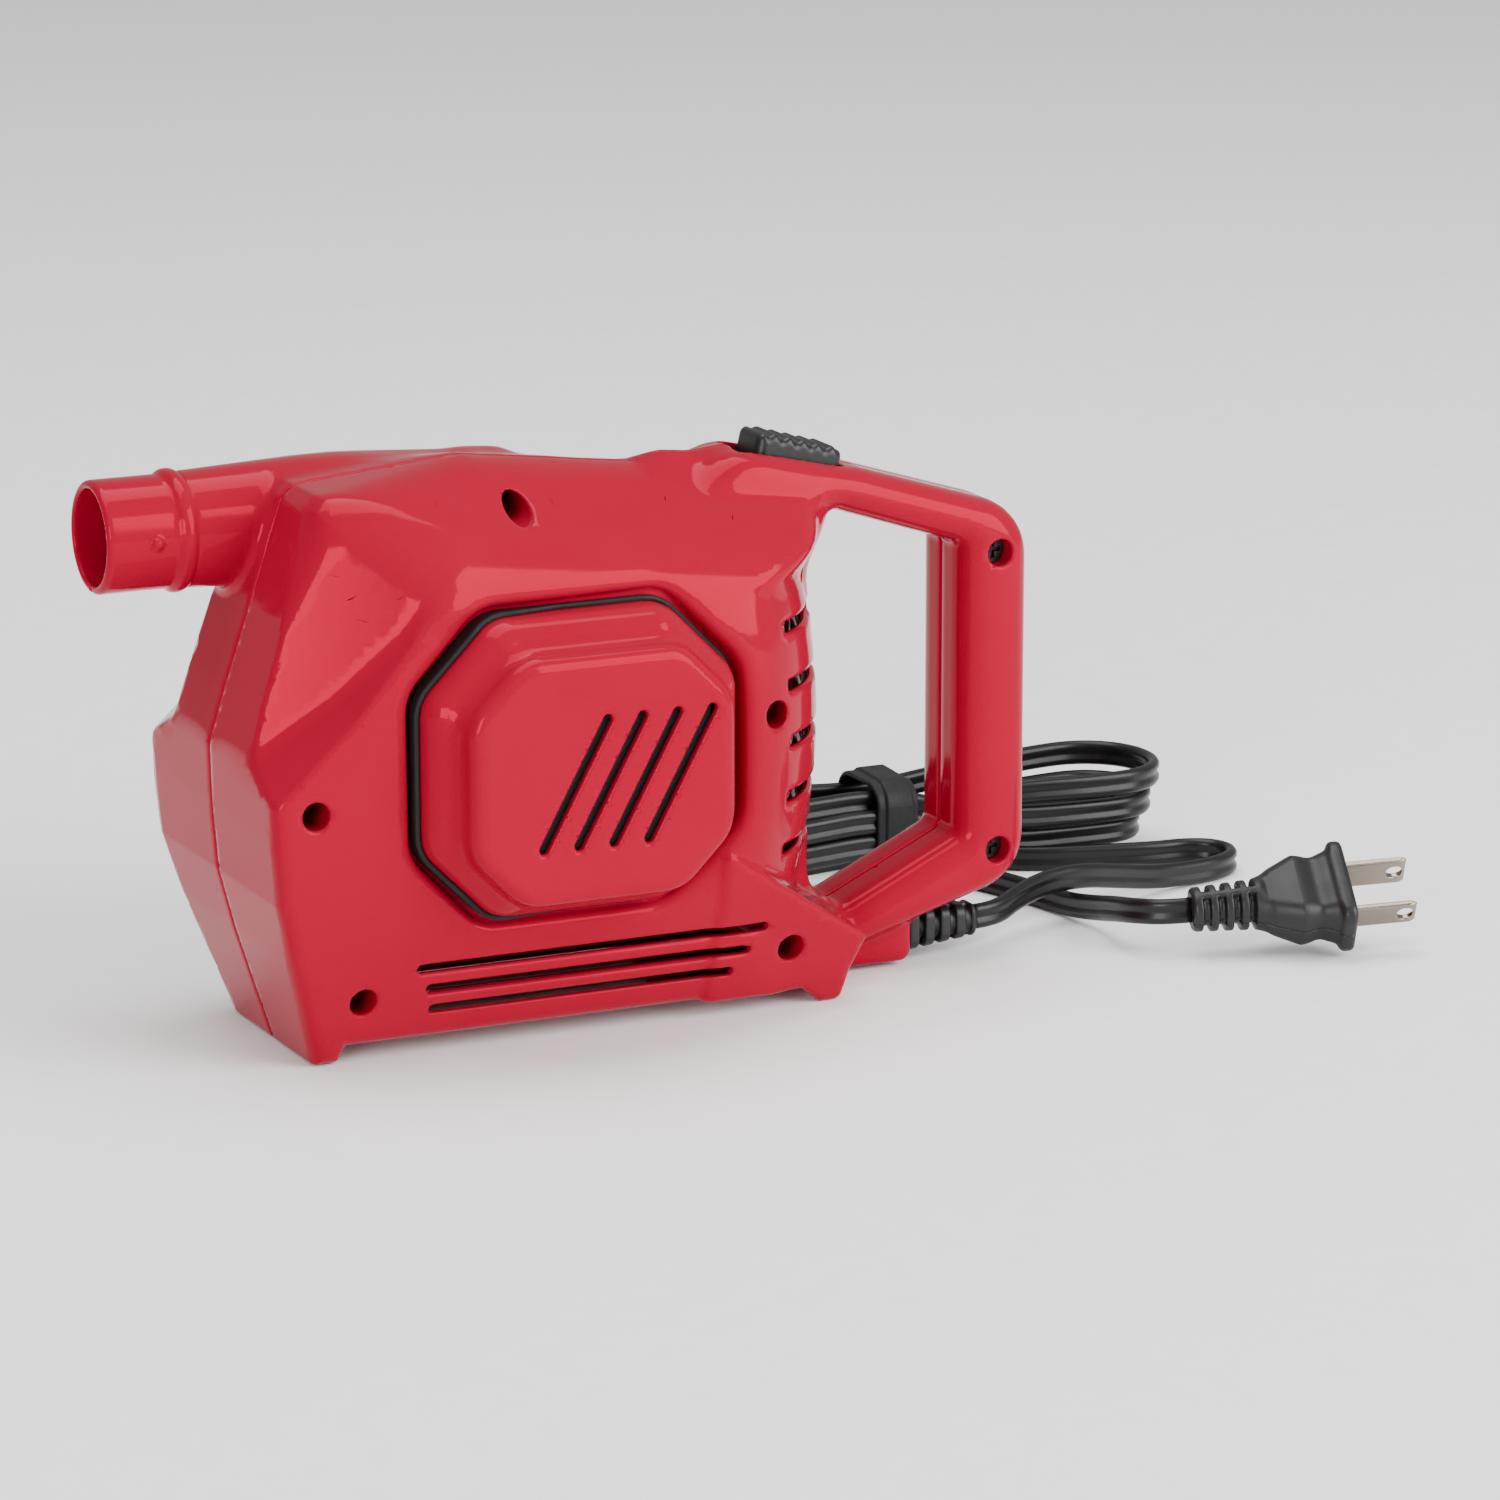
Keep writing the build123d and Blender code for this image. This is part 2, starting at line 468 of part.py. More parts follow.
WIRE_R = 1.1
wires = {
    "live_wire": [(62.2, -1.7, GLAND_Z), (57.0, -2.6, 10.0), (48.5, -4.0, 21.0), (46.5, -4.5, 45.0),
                  (46.5, -4.5, 75.0), (46.0, -4.0, 95.0), (46.0, -2.6, 107.6)],
    "neutral_wire": [(62.2, 1.7, GLAND_Z), (55.0, -1.5, 8.3), (42.0, -8.0, 8.3), (10.0, -12.5, 8.4),
                     (-25.0, -15.0, 8.4), (-48.0, -16.5, 10.5), (-55.0, -17.8, 16.0),
                     (-56.0, -21.2, 20.5), (-56.0, -21.2, 23.9)],
    "switch_wire": [(41.2, -0.6, 110.0), (40.0, -0.6, 104.8), (35.0, -8.0, 98.0), (20.0, -13.5, 98.0),
                    (-5.0, -13.5, 100.0), (-38.0, -14.5, 94.0), (-54.0, -18.0, 80.0),
                    (-59.0, -20.0, 62.0), (-60.0, -21.2, 48.1)],
}
for name, route in wires.items():
    parts[name] = tube(route, WIRE_R)

parts["cord_inner"] = block(62.9, 75.8, -3.1, 3.1, GLAND_Z - 1.5, GLAND_Z + 1.5)
parts["cord_clamp"] = block(66.5, 72.5, -5.5, 5.5, GLAND_Z + 1.5, GLAND_Z + 3.5)

screws = []
for x, z in CASE_SCREWS:
    head_y = SCREW_FLOOR - SCREW_HEAD_DEEP
    screw = disc(SCREW_HEAD_R, head_y, SCREW_FLOOR, x, z)
    for cross_x, cross_z in ((1.0, 4.0), (4.0, 1.0)):
        screw -= Pos(x, head_y, z) * Box(cross_x, 1.6, cross_z)
    tip = 4.2 if (x, z) == TOP_SCREW else 12.0
    screws.append(screw + disc(SCREW_SHANK_R, SCREW_FLOOR, tip, x, z))
parts["case_screws"] = joined(screws)

# ---------------------------------------------------------------- cord set
RIBS = 4
relief = rod(3.6, 75.8, GLAND_X, 0, GLAND_Z) + rod(4.1, 75.8, GLAND_X - WALL, 0, GLAND_Z)
profile = [(0, 0), (0, RELIEF_R), (RELIEF_LENGTH, RELIEF_END_R), (RELIEF_LENGTH, 0)]
cone = make_face(Polyline(*profile, close=True))
relief += Pos(GLAND_X, 0, GLAND_Z) * revolve(Plane.XZ * cone, Axis.X)
for step in range(RIBS):
    x = GLAND_X + 3.2 + 4.2 * step
    relief -= rod(9.0, x, x + 1.5, 0, GLAND_Z) - rod(3.3, x - 1, x + 3, 0, GLAND_Z)
parts["strain_relief"] = relief
room = rod(RELIEF_R + 0.4, GLAND_X, GLAND_X + RELIEF_LENGTH, 0, GLAND_Z)
parts["near_housing"] -= room
parts["far_housing"] -= room

parts["cord_lead"] = tube(LEAD_ROUTE, CORD_WIDTH / 2, "cord_lead")
parts["cord_plug_lead"] = tube(PLUG_ROUTE, CORD_WIDTH / 2, "cord_plug_lead")


def lobe(centre, radius):
    """One end of the hank, narrowing to the waist that the tie holds."""
    (x0, y0), (x1, y1) = centre, HANK_TIE
    reach = hypot(x1 - x0, y1 - y0)
    heading = atan2(y1 - y0, x1 - x0)
    lean = (radius - HANK_WAIST_R) / reach
    points = []
    for px, py, r, side in ((x0, y0, radius, 1), (x1, y1, HANK_WAIST_R, 1),
                            (x1, y1, HANK_WAIST_R, -1), (x0, y0, radius, -1)):
        angle = heading + side * (pi / 2 - lean)
        points.append((px + r * cos(angle), py + r * sin(angle)))
    return outline(points) + Pos(x0, y0) * Circle(radius)


parts["cord_hank"] = extrude(lobe(HANK_RIGHT, HANK_RIGHT_R) + lobe(HANK_LEFT, HANK_LEFT_R), HANK_HEIGHT)
half_tie, reach = TIE_WIDTH / 2, HANK_WAIST_R + 1.0
tie = block(HANK_TIE[0] - half_tie, HANK_TIE[0] + half_tie, HANK_TIE[1] - reach - TIE_WALL,
            HANK_TIE[1] + reach + TIE_WALL, 0, HANK_HEIGHT + TIE_WALL)
parts["cord_tie"] = tie - block(90, 130, HANK_TIE[1] - reach, HANK_TIE[1] + reach, -1, HANK_HEIGHT)
parts["cord_hank"] -= parts["cord_tie"]

level = PLUG_AXIS.cross(Vector(0, 0, 1)).normalized() * -1
upright = level.cross(PLUG_AXIS).normalized() * -1
spread = level * cos(radians(PLUG_ROLL)) + upright * sin(radians(PLUG_ROLL))
plug_plane = Plane(origin=PLUG_START, x_dir=spread, z_dir=PLUG_AXIS)


def plug_section(width, height, radius, reach):
    return plug_plane * Pos(0, 0, reach) * RectangleRounded(width, height, radius)


plug = plug_plane * Pos(0, 0, 8.0) * Cone(5.2, 6.0, 16.0)
for step in range(4):
    plug -= plug_plane * Pos(0, 0, 3.2 + 3.6 * step) * (Cylinder(9.0, 1.4) - Cylinder(4.2, 2.0))
plug += loft([plug_section(10.0, 9.0, 4.4, 15.0), plug_section(20.0, 14.0, 5.5, 24.0),
              plug_section(21.5, 14.0, 4.5, PLUG_LENGTH - 3.0)])
plug += extrude(plug_section(24.6, 15.2, 3.4, PLUG_LENGTH - 3.2), 3.2)
BLADE_OUT = 6.35                         # each blade from the plug's middle
pins = []
for side, wide in ((-1, 6.35), (1, 7.9)):
    pin = plug_plane * Pos(side * BLADE_OUT, 0, PLUG_LENGTH + 7.0) * Box(1.5, wide, 20.0)
    hole = Pos(side * BLADE_OUT, 0, PLUG_LENGTH + 12.5) * Rot(0, 90, 0) * Cylinder(1.95, 4.0)
    pins.append(pin - plug_plane * hole)
parts["plug_blades"] = joined(pins)
parts["plug_body"] = plug - parts["plug_blades"]

# ---------------------------------------------------------------- write the files
os.makedirs("parts", exist_ok=True)
for name, shape in parts.items():
    solids = shape.solids()
    whole = Compound(children=list(solids)) if len(solids) > 1 else solids[0]
    export_step(whole, f"parts/{name}.step")
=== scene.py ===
import json
from math import cos, pi, radians, sin

import bpy
import numpy as np
import openvdb
from mathutils import Matrix, Vector


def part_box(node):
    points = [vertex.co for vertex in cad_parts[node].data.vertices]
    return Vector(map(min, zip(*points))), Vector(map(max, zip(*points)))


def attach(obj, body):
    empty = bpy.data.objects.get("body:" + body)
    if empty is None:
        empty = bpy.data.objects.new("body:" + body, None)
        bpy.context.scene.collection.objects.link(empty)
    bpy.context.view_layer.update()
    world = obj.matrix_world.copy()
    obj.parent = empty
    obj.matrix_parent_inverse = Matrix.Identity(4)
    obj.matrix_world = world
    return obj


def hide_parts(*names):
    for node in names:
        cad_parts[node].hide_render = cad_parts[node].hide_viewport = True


# Looks of an electric air mattress pump. Shapes are worked out in millimetres
# and handed to Blender in metres. +Z is up, -X is the nozzle end, and the
# housing halves meet on the plane y = 0.

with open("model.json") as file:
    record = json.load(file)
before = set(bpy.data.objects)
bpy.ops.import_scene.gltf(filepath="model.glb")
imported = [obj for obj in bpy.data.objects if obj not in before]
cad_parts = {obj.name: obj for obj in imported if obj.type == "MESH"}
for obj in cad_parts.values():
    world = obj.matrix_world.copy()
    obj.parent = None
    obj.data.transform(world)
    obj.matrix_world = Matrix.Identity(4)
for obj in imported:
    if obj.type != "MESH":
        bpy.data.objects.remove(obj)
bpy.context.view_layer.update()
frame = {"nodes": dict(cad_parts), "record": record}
MM = 0.001


def node_box(name):
    """A CAD node's lowest and highest corner, in millimetres."""
    low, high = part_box(name)
    return np.array(low) / MM, np.array(high) / MM


# ---------------------------------------------------------------- sizes
cover_low, cover_high = node_box("motor_cover")
shaft_low, shaft_high = node_box("motor_shaft")
nozzle_low, nozzle_high = node_box("outlet_nozzle")
port_low, port_high = node_box("inlet_port")

AXIS_X = (shaft_low[0] + shaft_high[0]) / 2
AXIS_Z = (shaft_low[2] + shaft_high[2]) / 2
NOZZLE_Y, NOZZLE_Z = 16.0, 115.0
NOZZLE_R, NOZZLE_BORE = 12.75, 10.75
MOUTH_X = nozzle_low[0]
COVER_Y = cover_low[1]
PORT_Y = port_high[1]
WALL = 2.4
SEAM_GAP = 0.06                          # from the middle plane to each half's edge
HANDLE_HALF = 13.0
SCREW_HOLE_R, BOSS_R, SCREW_FLOOR = 3.1, 4.5, -6.0
SCREW_CORE_R, SCREW_END = 1.8, 20.0
CASE_SCREWS = [(-65.4, 15.4), (39.0, 15.4), (-79.0, 61.0), (32.7, 71.7), (-23.0, 120.6),
               (101.3, 97.6), (101.3, 26.9)]
SWITCH = Vector((53.0, 0.0, 122.9))
SWITCH_SLOPE = radians(13.0)
RIDGE_HEIGHT, RIDGE_PITCH = 0.42, 3.7    # the switch cap's ribs
GLAND = Vector((81.8, 0.0, 7.6))
RELIEF_LENGTH = 18.8
CORD_WIDTH, CORD_THICK = 6.2, 3.1

SIDE = [(-75.0, 0), (-69.0, 0), (-67.5, 4), (44.0, 4), (49.0, 0), (55.0, 0), (59.0, 8), (62.0, 17),
        (62.0, 122.4), (31.0, 128.6), (21.0, 128.6), (13.3, 124.9), (-9.0, 127.4), (-28.5, 130),
        (-67.9, 126.4), (-71.0, 124), (-74.8, 112.6), (-84.8, 82.6), (-89.0, 68), (-88.6, 55),
        (-87.4, 41), (-83.6, 26.6)]
SCOOP_POINT, SCOOP_SIDE = (-88.5, 24.8, 67.8), (-0.452, 0.867, 0.208)
SCOOP_EDGE = [(-120, 44), (-88.6, 70.5), (-72.6, 84.9), (-59.5, 99.2), (-52.5, 109), (-48.5, 121),
              (-47, 150), (-120, 150)]
HUMP_X = MOUTH_X + 20.6
HUMP_R, HUMP_SWELL, HUMP_SINK = 13.0, 1.2, 2.6
DUCT_R = 11.6
BUMP_X, BUMP_R = 11.5, 1.4               # the nozzle's latch bump, from its mouth
SCROLL_WALL, SCROLL_Y, SCROLL_TOP = 4.2, 31.2, 125.5
COLLAR_R, COLLAR_Y = 21.0, (34, 43)      # round the inlet port
GROOVE_R, GROOVE_HALF, GROOVE_FLOOR = 16.4, 1.7, 41.0
REAR_CENTRE, REAR_R = 13.4, 42.2
BARREL, BARREL_MIDDLE, BARREL_HALF, BARREL_ENDS = 3.6, 66.0, 32.0, (25, 101)
GRILLE_FIRST, GRILLE_PITCH, GRILLE_COUNT = 38.5, 12.9, 5
GRILLE_HALF, GRILLE_ASIDE, GRILLE_X = 1.2, (9, 34), (37, 75)
LOOP = [(24.0, 129.4), (68.6, 119.2), (110.0, 106.4), (110.0, 19.5), (81.0, 11.0), (60.0, 4.6),
        (40.0, 4.6), (24.0, 20.0)]
HOLE = [(59.5, 110.9), (92.2, 100.0), (92.2, 31.0), (62.5, 17.0), (54.5, 21.0),
        (53.0, 60.0), (53.0, 96.0)]
FIN = [(20, -9), (54.6, -9), (54.4, 0.5), (55.4, 7.3), (58.4, 16.0), (29.5, 35.8), (20, 41)]
FIN_SLOPE, FIN_FOOT = 0.12, 31.7
LOW_SLOTS = [(-53.5, 32.0, 22.0), (-50.7, 28.2, 16.8), (-49.4, 24.5, 11.6)]
BAFFLE_X, BAFFLE_THICK, BAFFLE_Z = 33.0, 2.0, (30, 104)
FAR_BAFFLE_X = BAFFLE_X + 7
NEAR_BAFFLE_Y, FAR_BAFFLE_Y = -14.0, 9.0
BAFFLE_SCREW = CASE_SCREWS[3]            # its socket passes through the baffle
RECESS = (-56.5, 23.0, 31.5, 102.5, 17.5)
COVER_BASE = (-55.0, 21.5, 33.0, 101.0, 17.0)
COVER_PLATE = (-47.3, 15.8, 38.0, 93.5, 12.5)
COVER_CORNER, PLATE_CORNER = 10.0, 11.0
COVER_SLOTS, SLOT_STEP, SLOT_TURN = 4, 8.4, radians(61)
# The ring of painted shade in the cover's pocket: spread out and in, lip depth, lip drop towards +x, and
# root.
SHADE_RING_OUT, SHADE_RING_IN, SHADE_RING_LIP, SHADE_RING_DROP, SHADE_RING_ROOT = 0.9, 0.5, -39.2, 3.6, -33.8
# A fine ripple on the dark sheet of painted shade behind the cover's slots.
RIPPLE_HEIGHT, RIPPLE_PITCH = 0.06, 1.4

# The cord's route, as in the CAD.
LEAD_ROUTE = [(100.6, 0.0, 7.6), (107.6, 0.0, 7.6), (116.0, 6.0, 9.2), (126.5, 11.0, 10.4),
              (138.0, 13.8, 10.2), (150.5, 19.2, 7.2), (163.0, 24.0, 4.3), (174.5, 26.6, 3.3),
              (184.0, 28.6, 3.2), (191.2, 34.0, 3.2), (191.6, 42.2, 3.2), (184.8, 46.8, 3.2),
              (175.0, 47.2, 3.2), (163.0, 50.4, 3.2), (149.0, 54.2, 3.2), (138.0, 60.6, 3.2)]
PLUG_START = (143.9, -28.5, 11.3)
PLUG_ROUTE = [(120.5, 63.0, 3.2), (124.0, 51.0, 3.2), (128.6, 39.0, 3.2), (132.0, 26.5, 3.2),
              (134.4, 13.5, 3.2), (135.4, 1.0, 5.4), (133.4, -11.5, 8.6), (133.6, -21.0, 10.4),
              (138.2, -26.7, 10.95), PLUG_START]
PLUG_AXIS = Vector((35.6, -11.3, 2.15)).normalized()
PLUG_ROLL, PLUG_LENGTH = radians(35.0), 37.4
BLADE_ASIDE, NARROW_BLADE, WIDE_BLADE = 6.35, 6.35, 7.9
TIE_X, TIE_Y, TIE_WIDTH = 112.0, 72.0, 11.0
HANK_TOP = 24.0

SHELL_VOXEL = 0.6


# ---------------------------------------------------------------- distance functions
# Each returns a signed distance in millimetres, negative inside, for arrays of points.
# The last number given to smax and smin is the rounding of the edge between the two.
def smax(a, b, k):
    """Both at once: the larger distance, with the edge between them rounded over k."""
    h = np.maximum(k - np.abs(a - b), 0.0) / k
    return np.maximum(a, b) + h * h * (k / 4)


def smin(a, b, k):
    """Either one: the smaller distance, with the corner between them filled over k."""
    return -smax(-a, -b, k)


def plane(x, y, z, point, normal):
    return sum((p - q) * n for p, q, n in zip((x, y, z), point, normal))


def inset(points, amount):
    """An outline's corners moved inwards along their bisectors."""
    area = sum(ax * by - bx * ay for (ax, ay), (bx, by) in zip(points, points[1:] + points[:1]))
    amount = amount if area > 0 else -amount
    moved = []
    for before, here, after in zip(points[-1:] + points[:-1], points, points[1:] + points[:1]):
        into = (Vector(here) - Vector(before)).normalized()
        out = (Vector(after) - Vector(here)).normalized()
        inward, outward = Vector((-into.y, into.x)), Vector((-out.y, out.x))
        shift = (inward + outward) * (amount / (1 + inward.dot(outward)))
        moved.append((here[0] + shift.x, here[1] + shift.y))
    return moved


def outline(points, u, v, radius=0.0):
    """Distance to a closed outline whose outer corners are rounded by radius."""
    points = inset(points, radius)
    nearest, inside = None, None
    for (au, av), (bu, bv) in zip(points, points[1:] + points[:1]):
        run_u, run_v = bu - au, bv - av
        along = np.clip(((u - au) * run_u + (v - av) * run_v) / (run_u ** 2 + run_v ** 2), 0, 1)
        gap = (u - au - along * run_u) ** 2 + (v - av - along * run_v) ** 2
        crossed = ((av > v) != (bv > v)) & (u < au + (v - av) * run_u / (run_v or 1.0))
        nearest = gap if nearest is None else np.minimum(nearest, gap)
        inside = crossed if inside is None else inside ^ crossed
    return np.where(inside, -1.0, 1.0) * np.sqrt(nearest) - radius


def octagon(box, u, v, radius=COVER_CORNER):
    """A box with its corners cut off, given as its two spans and the cut."""
    u0, u1, v0, v1, cut = box
    corners = [(u0 + cut, v0), (u1 - cut, v0), (u1, v0 + cut), (u1, v1 - cut),
               (u1 - cut, v1), (u0 + cut, v1), (u0, v1 - cut), (u0, v0 + cut)]
    return outline(corners, u, v, radius)


def capsule(u, v, half, radius, turn=0.0):
    """A slot with round ends, centred on the origin and turned."""
    along = np.clip(u * cos(turn) + v * sin(turn), -half, half)
    return np.hypot(u - along * cos(turn), v - along * sin(turn)) - radius


def rectangle(u, v, half_u, half_v, radius):
    du, dv = np.abs(u) - half_u + radius, np.abs(v) - half_v + radius
    return np.hypot(np.maximum(du, 0), np.maximum(dv, 0)) + np.minimum(np.maximum(du, dv), 0) - radius


def between(value, low, high):
    """Distance to the slab from low to high."""
    return np.abs(value - (low + high) / 2) - (high - low) / 2


# ---------------------------------------------------------------- housing halves
def side_walls(a, x, z):
    """Tapered lower wall, upright wall and the sloping shoulder, at a from the seam."""
    lower = (a - 40) * 0.944 - (z - 40) * 0.330
    upright = (a - 40) + (z - 40) * 0.0207
    shoulder = (a - 28) * 0.5105 + (z - 116.5 + 0.135 * (x + 23)) * 0.8598
    return smax(smax(lower, upright, 5.0), shoulder, 14.0)


def profile(a, x, z):
    """Side view, its front ridge arched towards the seam."""
    arch = 1.6 * np.exp(-((z - 68) / 14) ** 2)
    spread = np.minimum(a / 39, 1.0) ** 2
    middle = outline(SIDE, x, z - arch, 1.5)
    edge = outline(SIDE, x, z + arch, 1.5)
    return middle + (edge - middle) * spread


def scroll_outline(grow):
    """The fan's scroll in side view: a spiral that widens towards its outlet."""
    count, tongue, turns = 26, 125, 325
    points = []
    for step in range(count + 1):
        turn = turns * step / count
        radius = 34.0 + 12.0 * turn / 235 if turn < 235 else 46.0 + 10.5 * (turn - 235) / 90
        angle = radians(tongue + turn)
        points.append((AXIS_X + (radius + grow) * cos(angle), AXIS_Z + (radius + grow) * sin(angle)))
    return points


def solid_body(x, y, z):
    """The housing's outer form before its openings."""
    a = np.abs(y)
    walls = side_walls(a, x, z)
    view = profile(a, x, z)
    rise = np.clip((z - 97) / 11, 0, 1)
    barrel = BARREL * ((np.clip(z, *BARREL_ENDS) - BARREL_MIDDLE) / BARREL_HALF) ** 2
    barrel = barrel * (1 - rise * rise * (3 - 2 * rise))
    rear = np.hypot(np.maximum(x - REAR_CENTRE, 0), y) - REAR_R + barrel
    body = smax(smax(view, walls, 4.0), rear, 3.0)
    to_side = plane(x, a, z, SCOOP_POINT, SCOOP_SIDE)
    to_floor = (-outline(SCOOP_EDGE, x, z) + 0.35 * (a - 39) + 5.2) * 0.94
    upper = np.clip((z - 98) / 22, 0, 1)
    body = smax(body, smin(to_side, to_floor, 2.0), 1.1 + 7 * upper)
    fin = smax(outline(FIN, x, z - FIN_SLOPE * (FIN_FOOT - a), 0.8), view, 2.0)
    body = smin(body, smax(fin, walls, 1.6), 3.0)
    widening = np.clip((x - HUMP_X) / 30, 0, 1)
    hump = np.hypot(y - NOZZLE_Y, z - NOZZLE_Z) - HUMP_R - HUMP_SWELL * widening
    hump = hump + HUMP_SINK * np.clip((x + 50) / 40, 0, 1)
    hump = smax(smax(hump, HUMP_X - x, 0.8), x + 8, 6.0)
    body = smin(body, hump, 3.0)
    scroll = smax(outline(scroll_outline(SCROLL_WALL), x, z), between(y, 0, SCROLL_Y), 3.0)
    body = smin(body, smax(scroll, z - SCROLL_TOP, 5.0), 5.0)
    loop = smax(outline(LOOP, x, z, 14.0), -outline(HOLE, x, z, 2.5), 2.0)
    loop = smax(loop, a - HANDLE_HALF, 8.0)
    body = smin(body, loop, 4.0)
    block = smax(rectangle(x - 60, z - 8.5, 21.8, 7.5, 3.0), a - 8, 3.0)
    return smin(body, block, 2.0)


def openings(x, y, z):
    """Two fields: the low slots, switch window and bores, and the rounder-edged rear slots."""
    a = np.abs(y)
    gaps = None
    for x0, x1, height in LOW_SLOTS:
        slot = capsule(x - (x0 + x1) / 2, z - height, (x1 - x0) / 2 - 1.0, 1.0)
        slot = smax(slot, 25 - a, 0.3)
        gaps = slot if gaps is None else np.minimum(gaps, slot)
    from_slot = np.abs(np.mod(z - GRILLE_FIRST + GRILLE_PITCH / 2, GRILLE_PITCH) - GRILLE_PITCH / 2)
    last = GRILLE_FIRST + GRILLE_PITCH * (GRILLE_COUNT - 1)
    rear_gaps = smax(from_slot - GRILLE_HALF, between(z, GRILLE_FIRST - 4, last + 4), 0.4)
    rear_gaps = smax(smax(rear_gaps, between(a, *GRILLE_ASIDE), 1.0), between(x, *GRILLE_X), 0.6)
    along = (x - SWITCH.x) * cos(SWITCH_SLOPE) - (z - SWITCH.z) * sin(SWITCH_SLOPE)
    above = (x - SWITCH.x) * sin(SWITCH_SLOPE) + (z - SWITCH.z) * cos(SWITCH_SLOPE)
    window = smax(rectangle(along + 2.05, y, 13.55, 6.8, 1.5), -4.5 - above, 0.3)
    gaps = np.minimum(gaps, window)
    gland = smax(np.hypot(y - GLAND.y, z - GLAND.z) - 3.7, 70 - x, 0.3)
    room = smax(np.hypot(y, z - GLAND.z) - 5.6, between(x, GLAND.x, GLAND.x + 19), 0.3)
    duct = smax(np.hypot(y - NOZZLE_Y, z - NOZZLE_Z) - DUCT_R, between(x, -95, -66), 0.3)
    return np.minimum(np.minimum(gaps, gland), np.minimum(room, duct)), rear_gaps


def housing(x, y, z):
    """Both halves' shell with its screw bosses, motor cover pocket and port collar."""
    body = solid_body(x, y, z)
    pocket = octagon(RECESS, x, z)
    window = octagon(COVER_BASE, x, z)
    outer = smax(body, -smax(pocket, y + 34, 1.0), 4.5)
    shell = smax(outer, -(body + WALL), 0.5)
    around_pocket = smax(smax(pocket - WALL, y + 31.6, 0.5), outer, 0.5)
    shell = np.minimum(shell, around_pocket)
    shell = smax(shell, -smax(window, y, 0.3), 0.5)
    from_axis = np.hypot(x - AXIS_X, z - AXIS_Z)
    collar = smax(from_axis - COLLAR_R, between(y, *COLLAR_Y), 1.5)
    groove = smax(np.abs(from_axis - GROOVE_R) - GROOVE_HALF, GROOVE_FLOOR - y, 0.4)
    collar = smax(collar, -groove, 0.5)
    shell = smin(shell, collar, 1.5)
    shell = smax(shell, -smax(from_axis - NOZZLE_R - 0.05, 30 - y, 0.3), 0.6)
    for screw_x, screw_z in CASE_SCREWS:
        from_screw = np.hypot(x - screw_x, z - screw_z)
        shell = np.minimum(shell, smax(smax(from_screw - BOSS_R, y, 0.3), outer, 0.3))
        shell = smax(shell, -smax(from_screw - SCREW_HOLE_R, y - SCREW_FLOOR, 0.2), 0.9)
        shell = smax(shell, -smax(from_screw - SCREW_CORE_R, y - SCREW_END, 0.2), 0.2)
    gaps, rear_gaps = openings(x, y, z)
    shell = smax(smax(shell, -gaps, 0.7), -rear_gaps, 1.6)
    near_baffle = smax(between(x, BAFFLE_X, BAFFLE_X + BAFFLE_THICK), y - NEAR_BAFFLE_Y, 0.3)
    far_baffle = smax(between(x, FAR_BAFFLE_X, FAR_BAFFLE_X + BAFFLE_THICK), FAR_BAFFLE_Y - y, 0.3)
    baffle = smax(np.minimum(near_baffle, far_baffle), between(z, *BAFFLE_Z), 0.3)
    socket_x, socket_z = BAFFLE_SCREW
    baffle = smax(baffle, SCREW_HOLE_R - np.hypot(x - socket_x, z - socket_z), 0.3)
    return np.minimum(shell, smax(baffle, body + 1.0, 0.5))


def near_half(x, y, z):
    return smax(housing(x, y, z), y + SEAM_GAP, 1.1)


def far_half(x, y, z):
    return smax(housing(x, y, z), SEAM_GAP - y, 1.1)


# ---------------------------------------------------------------- other moulded pieces
def motor_cover(x, y, z):
    """A stepped cap: octagonal skirt, sloping shoulder and a raised, slotted plate."""
    out = -y
    base = octagon(COVER_BASE, x, z) + 0.3
    shoulder = (out - 42.2 + 0.55 * base) / 1.14
    lower = smax(smax(base, shoulder, 4.5), out - 48, 2.0)
    plate = octagon(COVER_PLATE, x, z, PLATE_CORNER)
    raised = smax(plate + 0.12 * (out + COVER_Y), out + COVER_Y, 3.2)
    form = smin(lower, raised, 2.6)
    rim = smax(base - 2.9, between(out, 29.6, 31.4), 0.4)
    shell = smax(form, -(form + 2.2), 0.4)
    shell = np.minimum(shell, rim)
    shell = smax(shell, -smax(base + 2.5, out - 36, 0.3), 0.3)
    for step in range(COVER_SLOTS):
        slot = capsule(x + 23 - SLOT_STEP * step, z - 65, 15.9, 1.1, SLOT_TURN)
        shell = smax(shell, -smax(slot, 44 - out, 0.3), 0.8)
    return smax(shell, 29.6 - out, 0.3)


def shade_ring_form(x, y, z):
    """A dark ring of painted shade round the cover's skirt, at the bottom of its pocket."""
    base = octagon(COVER_BASE, x, z)
    lip = SHADE_RING_LIP + SHADE_RING_DROP * np.clip((x + 42) / 22, 0, 1)
    return smax(smax(base - SHADE_RING_OUT, -(base + SHADE_RING_IN), 0.4), between(y, lip, SHADE_RING_ROOT), 0.6)


def cover_shade_sheet(x, y, z):
    """A dark sheet of painted shade inside the cover, behind its slots, finely rippled."""
    ripple = RIPPLE_HEIGHT * np.cos(2 * pi * x / RIPPLE_PITCH) * np.cos(2 * pi * z / RIPPLE_PITCH)
    return smax(rectangle(x + 14.5, z - 65, 25.0, 22.0, 3.0), between(y, -49.6, -49.1) + ripple, 0.1)


def rear_shade_sheet(x, y, z):
    """A curved dark sheet of painted shade inside the rear wall, behind its slots."""
    arc = np.hypot(np.maximum(x - REAR_CENTRE, 0), y) - REAR_R
    sheet = smax(between(arc, -8.2, -7.4), between(z, 31, 99), 0.2)
    return smax(smax(sheet, 5.5 - np.abs(y), 0.2), 36.5 - x, 0.2)


